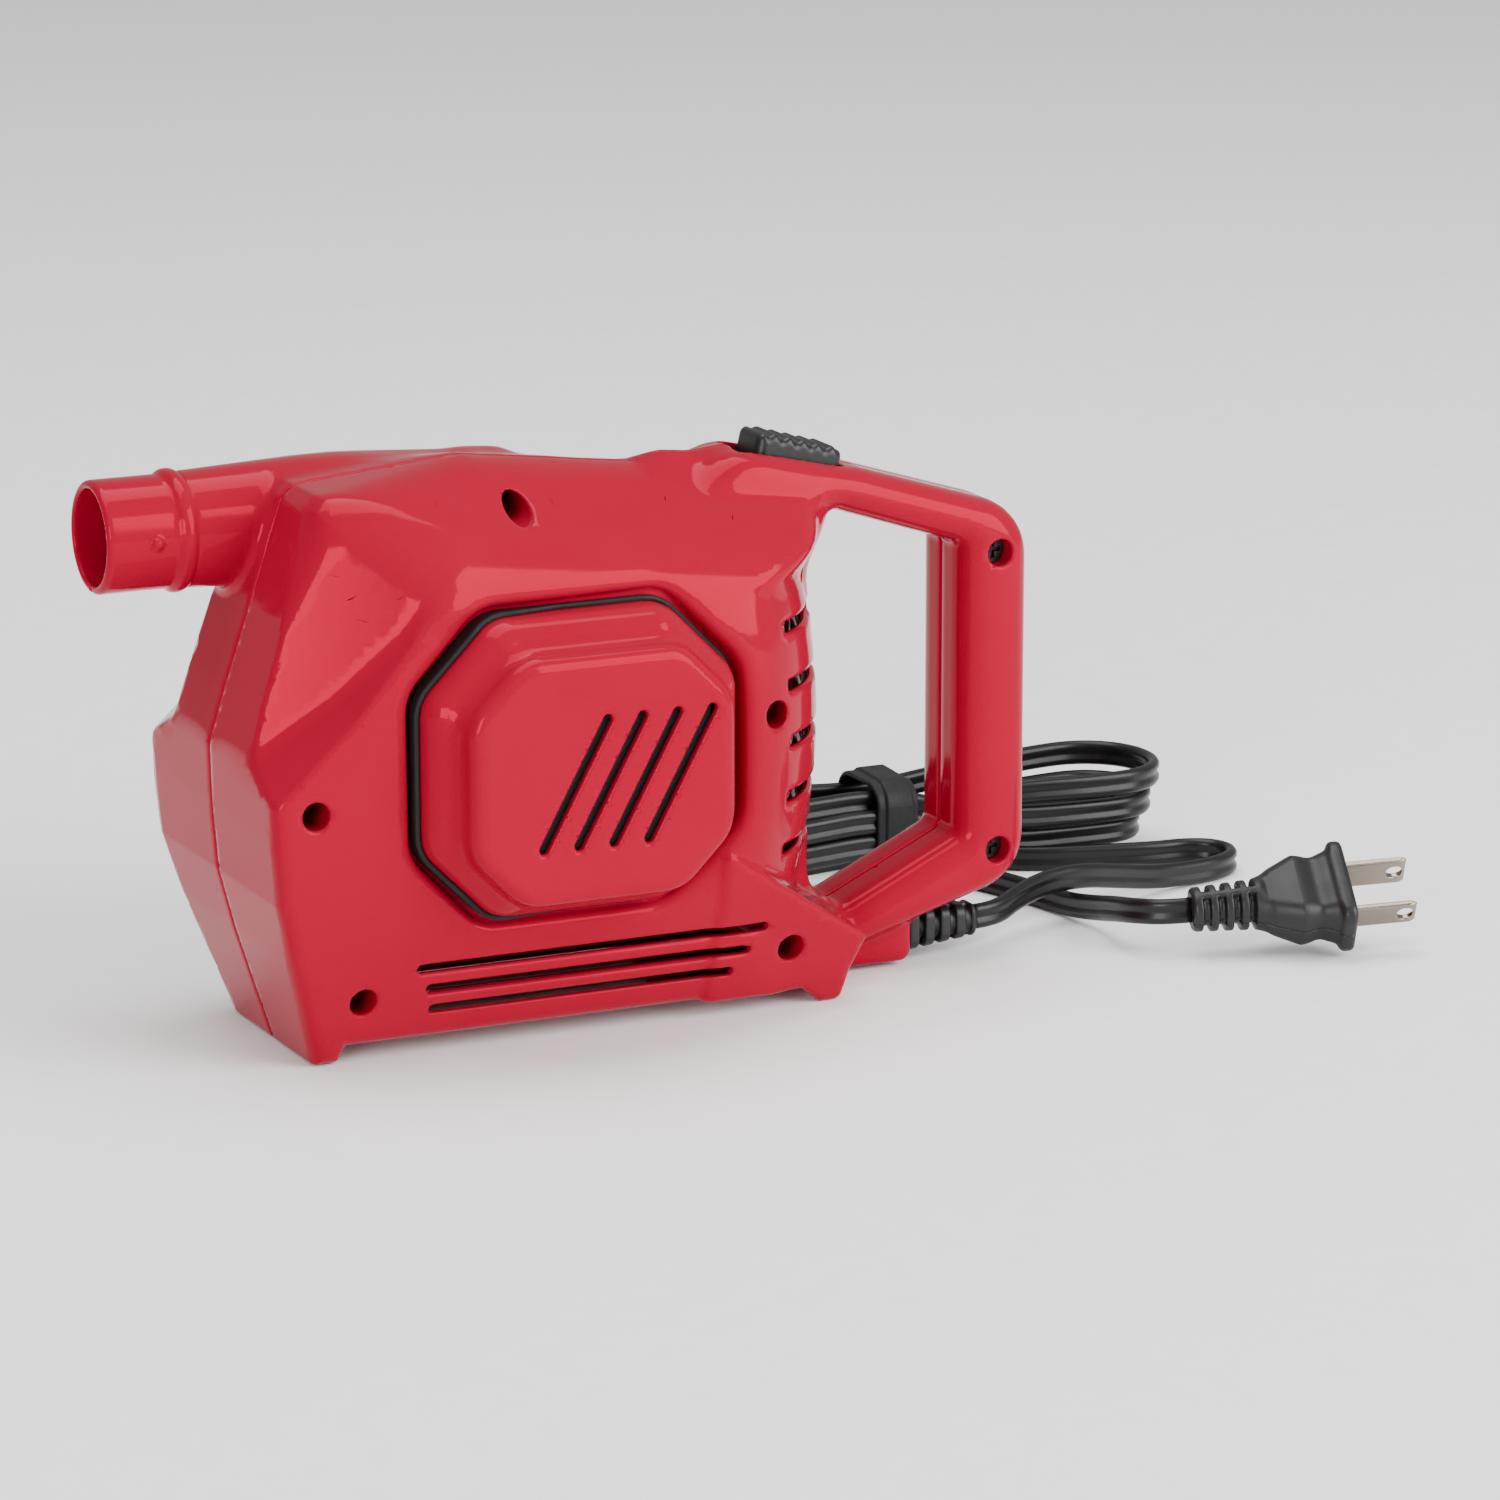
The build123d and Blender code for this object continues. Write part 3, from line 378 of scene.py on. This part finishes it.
def nozzle(x, y, z):
    """The outlet tube with its rim, collar, latch bump and inner flow ring."""
    from_axis = np.hypot(y - NOZZLE_Y, z - NOZZLE_Z)
    tube = smax(from_axis - NOZZLE_R, between(x, MOUTH_X, -78.2), 1.6)
    collar_x = MOUTH_X + 17
    collar = smax(from_axis - NOZZLE_R - 1.1, between(x, collar_x, collar_x + 3.8), 1.8)
    spigot = smax(from_axis - 12.3, between(x, -80, -64), 0.6)
    ring = smax(from_axis - 13.2, between(x, -76, -74), 0.3)
    form = smin(np.minimum(tube, smin(spigot, ring, 0.4)), collar, 1.0)
    bump_gap = (x - MOUTH_X - BUMP_X) ** 2 + (y - NOZZLE_Y + NOZZLE_R - 0.2) ** 2 + (z - NOZZLE_Z) ** 2
    form = smin(form, np.sqrt(bump_gap) - BUMP_R, 0.8)
    notch = smax(np.abs(y - NOZZLE_Y) - 0.8, np.abs(z - NOZZLE_Z + NOZZLE_R) - 1.2, 0.4)
    form = smax(form, -smax(notch, x - MOUTH_X - 2.5, 0.4), 0.4)
    form = smax(form, -(from_axis - NOZZLE_BORE), 1.0)
    web = np.abs(from_axis - 2.8) - 0.8
    for turn in (30, 150, 270):
        across = (y - NOZZLE_Y) * cos(radians(turn)) + (z - NOZZLE_Z) * sin(radians(turn))
        beside = (z - NOZZLE_Z) * cos(radians(turn)) - (y - NOZZLE_Y) * sin(radians(turn))
        web = np.minimum(web, smax(np.abs(beside) - 0.7, between(across, 2.4, 11.2), 0.3))
    web = smax(web, between(x, MOUTH_X + 8, MOUTH_X + 13), 0.6)
    return smin(form, web, 0.8)


def port(x, y, z):
    """The inlet ring with its guard of six spokes."""
    from_axis = np.hypot(x - AXIS_X, z - AXIS_Z)
    tube = smax(from_axis - NOZZLE_R, between(y, 28.2, PORT_Y), 1.4)
    tube = smin(tube, smax(from_axis - 15.1, between(y, 33, 34.8), 0.3), 0.4)
    tube = smax(tube, -(from_axis - NOZZLE_BORE), 0.8)
    guard = np.abs(from_axis - 2.8) - 0.8
    for step in range(6):
        turn = step * pi / 3
        across = (x - AXIS_X) * cos(turn) + (z - AXIS_Z) * sin(turn)
        beside = (z - AXIS_Z) * cos(turn) - (x - AXIS_X) * sin(turn)
        guard = np.minimum(guard, smax(np.abs(beside) - 0.7, between(across, 2.9, 11.2), 0.3))
    return smin(tube, smax(guard, between(y, 44, 47), 0.6), 0.8)


def button(x, y, z):
    """The sliding switch cap in its own frame: x down the slope, z square to it."""
    body = rectangle(x, y, 11.0, 6.3, 2.4)
    ridges = RIDGE_HEIGHT * np.cos(2 * pi * (x - 0.6) / RIDGE_PITCH) * np.clip((10.2 - np.abs(x)) / 1.5, 0, 1)
    top = z - (4.2 - 0.05 * (x + 9) + ridges)
    cap = smax(smax(body, top, 2.2), -2.6 - z, 0.4)
    stem = smax(rectangle(x, y, 3.6, 2.0, 0.3), between(z, -8, -2), 0.3)
    return np.minimum(cap, stem)


def relief(x, y, z):
    """The gland's ribbed sleeve, x from the cord block's face along the cord."""
    taper = 5.2 - 1.3 * x / RELIEF_LENGTH
    flat = np.hypot(y, z)
    sleeve = smax(rectangle(y, z, taper, taper, 2.6), between(x, 0.3, RELIEF_LENGTH), 1.0)
    for step in range(4):
        groove = smax(between(x, 3.2 + 4.2 * step, 4.8 + 4.2 * step), 3.4 - flat, 0.5)
        groove = smax(groove, 0.9 - np.abs(y), 0.4)
        sleeve = smax(sleeve, -groove, 0.5)
    shank = smax(flat - 3.5, between(x, -6, 1), 0.3)
    return np.minimum(sleeve, shank)


def plug(x, y, z):
    """The moulded plug in its own frame: x across the blades, z along the cord."""
    sleeve = smax(np.hypot(x, y) - 5.2 - z / 18, between(z, 0, 17), 1.2)
    for step in range(4):
        at = 3.2 + 3.6 * step
        groove = smax(between(z, at - 0.8, at + 0.8), 4.0 - np.hypot(x, y), 0.6)
        sleeve = smax(sleeve, -smax(groove, 0.9 - np.abs(x), 0.4), 0.6)
    half_width = np.interp(z, [14, 19, 25, 36], [4.6, 7.6, 10.2, 10.8])
    half_height = np.interp(z, [14, 19, 25, 36], [4.4, 5.8, 7.0, 7.0])
    grip = smax(rectangle(x, y, half_width, half_height, 4.2), between(z, 14.6, PLUG_LENGTH - 1), 2.4)
    waist = 1.1 * np.exp(-((z - 29.5) / 2.6) ** 2)
    grip = grip * 0.9 + waist * 0.9
    face = smax(rectangle(x, y, 12.3, 7.6, 3.4), between(z, PLUG_LENGTH - 3.4, PLUG_LENGTH), 1.4)
    form = smin(smin(sleeve, grip, 1.2), face, 1.6)
    parting = smax(np.abs(y) - 0.25, -form - 0.35, 0.2)
    return smax(form, -parting, 0.3)


def blade(wide):
    """One flat blade with its hole, chamfered at the tip, in the plug's frame."""
    def form(x, y, z):
        flat = rectangle(x, y, 0.78, wide / 2, 0.3)
        length = between(z, PLUG_LENGTH - 3, PLUG_LENGTH + 17)
        tip = smax(smax(flat, length, 0.5), (z - PLUG_LENGTH - 15.4 + np.abs(x) * 1.6) * 0.53, 0.5)
        return smax(tip, -(np.hypot(y, z - PLUG_LENGTH - 12.5) - 1.95), 0.3)
    return form


def tie(x, y, z):
    """A strap round the hank's waist, its end lapped over and tucked."""
    height = HANK_TOP / 2 + 0.3
    edge = rectangle(y - TIE_Y, z - height, 11.6, height - 0.1, 6.0)
    strap = smax(np.abs(edge + 0.6) - 0.6, np.abs(x - TIE_X) - TIE_WIDTH / 2, 0.6)
    lap = smax(np.abs(edge + 0.1) - 0.7, np.abs(x - TIE_X - 1.0 - 0.06 * (y - TIE_Y)) - 3.6, 0.6)
    return smin(strap, smax(lap, 6 - z, 0.6), 0.4)


# ---------------------------------------------------------------- meshing
def gradient(form, points, step=0.05):
    """The form's value and slope at each point, from four corners of a small cube."""
    total, slope = 0.0, np.zeros_like(points)
    for corner in ((1, -1, -1), (-1, -1, 1), (-1, 1, -1), (1, 1, 1)):
        offset = np.array(corner) * step
        value = form(*(points + offset).T)
        total = total + value / 4
        slope += value[:, None] * np.array(corner) / (4 * step)
    return total, slope


def surfaced(name, form, low, high, voxel, place=None, adaptivity=0.0):
    """A mesh of the form's surface with exact normals, moved by place (in millimetres)."""
    low, high = np.array(low, float) - 2 * voxel, np.array(high, float) + 2 * voxel
    axes = [np.arange(a, b, voxel) for a, b in zip(low, high)]
    x, y, z = np.meshgrid(*[axis.astype(np.float32) for axis in axes], indexing="ij", sparse=True)
    band = 2.5 * voxel
    field = np.clip(form(x, y, z), -band, band).astype(np.float32)
    grid = openvdb.FloatGrid(band)
    grid.copyFromArray(np.ascontiguousarray(field))
    points, triangles, quads = grid.convertToPolygons(isovalue=0.0, adaptivity=adaptivity)
    points = points.astype(float) * voxel + low
    for _ in range(2):
        value, slope = gradient(form, points)
        steep = np.maximum((slope ** 2).sum(1), 0.2)
        shift = np.clip(value / steep, -voxel, voxel)
        points -= shift[:, None] * slope
    normals = gradient(form, points)[1]
    normals /= np.maximum(np.linalg.norm(normals, axis=1), 1e-6)[:, None]
    mesh = bpy.data.meshes.new(name)
    faces = quads.tolist() + triangles.tolist()
    mesh.from_pydata((points * MM).tolist(), [], faces)
    mesh.shade_smooth()
    if place is not None:
        mesh.transform(Matrix.Scale(MM, 4) @ place @ Matrix.Scale(1 / MM, 4))
        normals = normals @ np.array(place.to_3x3()).T
    mesh.normals_split_custom_set_from_vertices(normals.tolist())
    piece = bpy.data.objects.new(name, mesh)
    bpy.context.scene.collection.objects.link(piece)
    print(name, len(mesh.polygons), "faces")
    return piece


# ---------------------------------------------------------------- materials
def moulded(name, colour, roughness=0.3, grain=0.02, grain_scale=900.0, metallic=0.0, spread=0.06,
            shine=(1.0, 1.0, 1.0), level=0.5, streak=None):
    """A principled material: colour drifts a little, roughness is mottled, and a fine
    grain lifts the surface. shine tints its reflections and level sets their strength.
    streak stretches the grain along an axis, as in brushed metal."""
    material = bpy.data.materials.new(name)
    material.use_nodes = True
    nodes, links = material.node_tree.nodes, material.node_tree.links
    shader = nodes["Principled BSDF"]
    shader.inputs["Metallic"].default_value = metallic
    shader.inputs["Specular Tint"].default_value = (*shine, 1.0)
    shader.inputs["Specular IOR Level"].default_value = level
    place = nodes.new("ShaderNodeTexCoord")
    stretch = nodes.new("ShaderNodeMapping")
    stretch.inputs["Scale"].default_value = streak or (1.0, 1.0, 1.0)
    links.new(place.outputs["Object"], stretch.inputs["Vector"])

    def noise(scale, detail):
        node = nodes.new("ShaderNodeTexNoise")
        node.inputs["Scale"].default_value = scale
        node.inputs["Detail"].default_value = detail
        links.new(stretch.outputs["Vector"], node.inputs["Vector"])
        return node.outputs["Fac"]

    def scaled(source, low, high):
        node = nodes.new("ShaderNodeMapRange")
        node.inputs["From Min"].default_value = 0.3
        node.inputs["From Max"].default_value = 0.7
        node.inputs["To Min"].default_value = low
        node.inputs["To Max"].default_value = high
        links.new(source, node.inputs["Value"])
        return node.outputs["Result"]

    mix = nodes.new("ShaderNodeMix")
    mix.data_type = "RGBA"
    mix.inputs["A"].default_value = [c * (1 - spread) for c in colour] + [1]
    mix.inputs["B"].default_value = [min(c * (1 + spread) + 0.004, 1) for c in colour] + [1]
    links.new(noise(35.0, 3.0), mix.inputs["Factor"])
    links.new(mix.outputs["Result"], shader.inputs["Base Color"])
    links.new(scaled(noise(120.0, 4.0), roughness * 0.85, roughness * 1.15), shader.inputs["Roughness"])
    bump = nodes.new("ShaderNodeBump")
    bump.inputs["Strength"].default_value = grain
    bump.inputs["Distance"].default_value = 0.0002
    links.new(noise(grain_scale, 2.0), bump.inputs["Height"])
    links.new(bump.outputs["Normal"], shader.inputs["Normal"])
    return material


RED = (0.29, 0.0010, 0.018)
SLOTS = {
    "red_plastic": moulded("red_plastic", RED, 0.10, 0.02, 500.0, metallic=0.1, spread=0.02,
                           shine=(1.0, 0.03, 0.09), level=0.12),
    "grey_plastic": moulded("grey_plastic", (0.20, 0.20, 0.21), 0.45, 0.10),
    "white_plastic": moulded("white_plastic", (0.72, 0.71, 0.68), 0.42, 0.08),
    "black_plastic": moulded("black_plastic", (0.006, 0.006, 0.006), 0.38, 0.12, 1400.0, spread=0.2,
                             level=0.3),
    "steel": moulded("steel", (0.50, 0.50, 0.51), 0.32, 0.10, 700.0, 1.0, streak=(1, 6, 1)),
    "screw_steel": moulded("screw_steel", (0.04, 0.035, 0.035), 0.45, 0.08, 1200.0, 1.0),
    "copper": moulded("copper", (0.72, 0.27, 0.12), 0.30, 0.25, 1500.0, 1.0, streak=(1, 8, 1)),
    "brass": moulded("brass", (0.70, 0.47, 0.18), 0.30, 0.08, 900.0, 1.0),
    "magnet": moulded("magnet", (0.05, 0.05, 0.055), 0.6, 0.25, 800.0),
    "carbon": moulded("carbon", (0.03, 0.03, 0.03), 0.55, 0.20, 1200.0),
    "rubber": moulded("rubber", (0.008, 0.005, 0.005), 0.6, 0.2, 900.0, spread=0.15, level=0.2),
    "circuit_board": moulded("circuit_board", (0.42, 0.30, 0.12), 0.5, 0.12, 600.0),
    "capacitor": moulded("capacitor", (0.55, 0.36, 0.05), 0.4, 0.06),
    "black_wire": moulded("black_wire", (0.02, 0.02, 0.02), 0.4, 0.06),
    "grey_wire": moulded("grey_wire", (0.06, 0.06, 0.065), 0.4, 0.06),
    "cord": moulded("cord", (0.005, 0.005, 0.005), 0.33, 0.10, 1100.0, spread=0.2, level=0.26),
    "cord_rubber": moulded("cord_rubber", (0.006, 0.006, 0.006), 0.42, 0.15, 1300.0, spread=0.2,
                           level=0.32),
    "tie": moulded("tie", (0.006, 0.006, 0.006), 0.62, 0.5, 2200.0, spread=0.2, level=0.25),
    "blade_metal": moulded("blade_metal", (0.26, 0.22, 0.18), 0.24, 0.12, 500.0, 1.0, streak=(1, 1, 7)),
}


def finish_nodes():
    """Gives every CAD node the procedural material of its slot in the record."""
    slot_of = {part["node"]: part["material"] for part in frame["record"]["subparts"]
               if "node" in part and "material" in part}
    for name, node in frame["nodes"].items():
        material = SLOTS.get(slot_of.get(name))
        old = node.data.materials[0].name.split(".")[0] if node.data.materials else ""
        material = material or SLOTS.get(old, SLOTS["grey_plastic"])
        node.data.materials.clear()
        node.data.materials.append(material)


def dress(piece, body, slot, *replaced):
    """Material, body and the CAD nodes that the piece stands for."""
    piece.data.materials.append(SLOTS[slot])
    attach(piece, body)
    if replaced:
        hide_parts(*replaced)
    return piece


# ---------------------------------------------------------------- cord
def hank_turns():
    """The hank from the tie's front: each turn goes round the left lobe, back through the
    tie, round the right lobe and to the front again. Its turns differ in size and height."""
    # waist offset and height at the tie's front, left lobe radius and height,
    # waist offset and height at the tie's back, right lobe radius and height
    turns = [((8.6, 9.6), (13.2, 7.0), (8.6, 4.6), (12.4, 6.4)),
             ((8.6, 15.9), (14.6, 13.3), (8.6, 10.9), (15.2, 12.8)),
             ((5.0, 19.6), (15.2, 19.7), (8.4, 17.4), (17.4, 19.9)),
             ((5.0, 13.2), (10.6, 10.4), (5.0, 12.0), (9.0, 10.6)),
             ((5.0, 6.8), (9.6, 4.2), (5.0, 5.7), None)]
    left, right = (53.0, 74.0), (170.0, 71.5)
    points = []
    for front, left_lobe, back, right_lobe in turns:
        points.append((TIE_X, TIE_Y - front[0], front[1]))
        radius, height = left_lobe
        points.append((84.0, TIE_Y + 1 - (front[0] + radius) / 2, (front[1] + height) / 2))
        for angle in (-75, -120, -165, -210, -255):
            points.append((left[0] + radius * cos(radians(angle)), left[1] + radius * sin(radians(angle)),
                           height))
        points.append((84.0, TIE_Y + 1 + (back[0] + radius) / 2, (height + back[1]) / 2))
        points.append((TIE_X, TIE_Y + back[0], back[1]))
        if right_lobe is None:
            break
        radius, height = right_lobe
        points.append((136.0, TIE_Y + (back[0] + radius) / 2, (back[1] + height) / 2))
        for angle in (100, 60, 22, -22, -60, -100):
            points.append((right[0] + radius * cos(radians(angle)), right[1] + radius * sin(radians(angle)),
                           height))
        points.append((136.0, TIE_Y - (radius + 8) / 2, height))
    points += [(117.2, 74.6, 4.4), (120.0, 69.4, 3.3)]
    return points


def smooth_line(points):
    """Points, in metres, along the NURBS spline that the route's points control."""
    curve = bpy.data.curves.new("cord_route", "CURVE")
    curve.dimensions = "3D"
    curve.resolution_u = 8
    spline = curve.splines.new("NURBS")
    spline.points.add(len(points) - 1)
    for target, point in zip(spline.points, points):
        target.co = [c * MM for c in point] + [1.0]
    spline.order_u = 3
    spline.use_endpoint_u = True
    route = bpy.data.objects.new("cord_route", curve)
    bpy.context.scene.collection.objects.link(route)
    bpy.context.view_layer.update()
    mesh = bpy.data.meshes.new_from_object(route)
    line = [v.co.copy() for v in mesh.vertices]
    bpy.data.objects.remove(route)
    bpy.data.meshes.remove(mesh)
    return line


def flat_cord(name, line):
    """A two-core flat cord on edge: two round lobes joined by a web, along the line."""
    radius, lobe = CORD_THICK / 2 * MM, (CORD_WIDTH - CORD_THICK) / 2 * MM
    section = []
    for centre, first in ((lobe, -50), (-lobe, 130)):
        for step in range(9):
            angle = radians(first + 35 * step)
            section.append((radius * cos(angle), centre + radius * sin(angle)))
    verts, faces, count = [], [], len(section)
    for index, point in enumerate(line):
        ahead = line[min(index + 1, len(line) - 1)] - line[max(index - 1, 0)]
        beside = ahead.cross(Vector((0, 0, 1))).normalized()
        up = beside.cross(ahead).normalized()
        verts += [point + beside * u + up * v for u, v in section]
    for ring in range(len(line) - 1):
        for k in range(count):
            a, b = ring * count + k, ring * count + (k + 1) % count
            faces.append((a, b, b + count, a + count))
    last = (len(line) - 1) * count
    faces += [tuple(range(count))[::-1], tuple(range(last, last + count))]
    mesh = bpy.data.meshes.new(name)
    mesh.from_pydata(verts, [], faces)
    mesh.shade_smooth()
    piece = bpy.data.objects.new(name, mesh)
    bpy.context.scene.collection.objects.link(piece)
    return piece


def plug_place():
    """The plug's own frame: x across its blades, z along its axis, from the cord's end."""
    level = PLUG_AXIS.cross(Vector((0, 0, 1))).normalized() * -1
    upright = level.cross(PLUG_AXIS).normalized() * -1
    across = level * cos(PLUG_ROLL) + upright * sin(PLUG_ROLL)
    turn = Matrix((across, PLUG_AXIS.cross(across), PLUG_AXIS)).transposed().to_4x4()
    return Matrix.Translation(PLUG_START) @ turn


def build_cord():
    route = LEAD_ROUTE + hank_turns() + PLUG_ROUTE
    line = smooth_line(route)
    cord = dress(flat_cord("power_cord", line), "housing", "cord",
                 "cord_lead", "cord_plug_lead", "cord_hank")
    place = plug_place()
    body = surfaced("cord_plug", plug, (-13, -8, -1), (13, 8, PLUG_LENGTH + 1), 0.45, place)
    dress(body, "housing", "cord_rubber", "plug_body")
    for side, wide in ((-1, NARROW_BLADE), (1, WIDE_BLADE)):
        move = place @ Matrix.Translation((side * BLADE_ASIDE, 0, 0))
        pin = surfaced("plug_pin_left" if side < 0 else "plug_pin_right", blade(wide),
                       (-1, -4.2, 33), (1, 4.2, 55), 0.3, move)
        dress(pin, "housing", "blade_metal")
    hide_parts("plug_blades")
    sleeve = surfaced("cord_sleeve", relief, (-7, -6, -6), (RELIEF_LENGTH + 1, 6, 6), 0.4,
                      Matrix.Translation(GLAND))
    dress(sleeve, "housing", "cord_rubber", "strain_relief")
    strap = surfaced("hank_strap", tie, (105, 59, -1), (119, 85, 26), 0.5)
    dress(strap, "housing", "tie", "cord_tie")


# ---------------------------------------------------------------- camera, light and floor
def aim(thing, place, target):
    thing.location = place
    thing.rotation_euler = (Vector(target) - Vector(place)).to_track_quat("-Z", "Y").to_euler()


def softbox(name, place, target, width, height, power):
    light = bpy.data.lights.new(name, "AREA")
    light.shape = "RECTANGLE"
    light.size, light.size_y = width, height
    light.energy = power
    lamp = bpy.data.objects.new(name, light)
    bpy.context.scene.collection.objects.link(lamp)
    aim(lamp, place, target)
    return lamp


def studio():
    """Camera, three soft boxes, a pale surround and the floor."""
    scene = bpy.context.scene
    camera = bpy.data.objects.new("camera", bpy.data.cameras.new("camera"))
    camera.data.lens, camera.data.sensor_width = 156.0, 36.0
    scene.collection.objects.link(camera)
    aim(camera, (-0.5763, -1.3108, 0.4157), (0.04335, 0.0, 0.05417))
    scene.camera = camera
    middle = (0.0, 0.0, 0.06)
    softbox("right_box", (1.05, -1.35, 0.85), middle, 1.3, 1.5, 60)
    softbox("left_box", (-1.5, -1.5, 0.55), middle, 0.8, 0.9, 30)
    softbox("top_box", (-0.1, 0.2, 1.9), middle, 1.8, 1.2, 38)
    world = bpy.data.worlds.new("surround")
    world.use_nodes = True
    world.node_tree.nodes["Background"].inputs["Color"].default_value = (1, 1, 1, 1)
    world.node_tree.nodes["Background"].inputs["Strength"].default_value = 0.55
    scene.world = world
    floor_mesh = bpy.data.meshes.new("floor")
    reach = 6.0
    floor_mesh.from_pydata([(-reach, -reach, 0), (reach, -reach, 0), (reach, reach, 0), (-reach, reach, 0)],
                           [], [(0, 1, 2, 3)])
    floor = bpy.data.objects.new("floor", floor_mesh)
    floor.data.materials.append(moulded("floor", (0.90, 0.90, 0.90), 0.6, 0.01, spread=0.005))
    scene.collection.objects.link(floor)


# ---------------------------------------------------------------- build
def build_pump():
    near = surfaced("near_shell", near_half, (-91, -41, 0), (111, 0, 131), SHELL_VOXEL, adaptivity=0.05)
    dress(near, "housing", "red_plastic", "near_housing")
    far = surfaced("far_shell", far_half, (-91, 0, 0), (111, 44, 131), SHELL_VOXEL, adaptivity=0.05)
    dress(far, "housing", "red_plastic", "far_housing")
    cap = surfaced("motor_cap", motor_cover, cover_low, cover_high, SHELL_VOXEL, adaptivity=0.03)
    dress(cap, "housing", "red_plastic", "motor_cover")
    # A dark ring round the cover's skirt: painted shade for the shaded deep gap in its pocket.
    shade_ring_piece = surfaced("cover_shade_ring", shade_ring_form, (-57, -40, 31), (24, -33, 103), SHELL_VOXEL, adaptivity=0.02)
    dress(shade_ring_piece, "housing", "rubber")
    # Dark sheets behind the cover's and the rear wall's slots: painted shade that keeps the slots dark.
    front_sheet = surfaced("cover_shade_sheet", cover_shade_sheet, (-41, -50, 42), (12, -48.6, 88), 0.4)
    dress(front_sheet, "housing", "rubber")
    rear_sheet = surfaced("rear_shade_sheet", rear_shade_sheet, (36, -32, 30), (50, 32, 100), 0.5, adaptivity=0.02)
    dress(rear_sheet, "housing", "rubber")
    spout = surfaced("air_nozzle", nozzle, nozzle_low, nozzle_high, 0.5, adaptivity=0.01)
    dress(spout, "housing", "red_plastic", "outlet_nozzle")
    intake = surfaced("air_inlet", port, port_low, port_high, 0.5, adaptivity=0.01)
    dress(intake, "housing", "red_plastic", "inlet_port")
    slope = Matrix.Translation(SWITCH) @ Matrix.Rotation(SWITCH_SLOPE, 4, "Y")
    slider = surfaced("slide_cap", button, (-11.2, -6.5, -8.2), (11.2, 6.5, 5.5), 0.28, slope)
    dress(slider, "switch", "black_plastic", "switch_button")


finish_nodes()
studio()
build_cord()
build_pump()
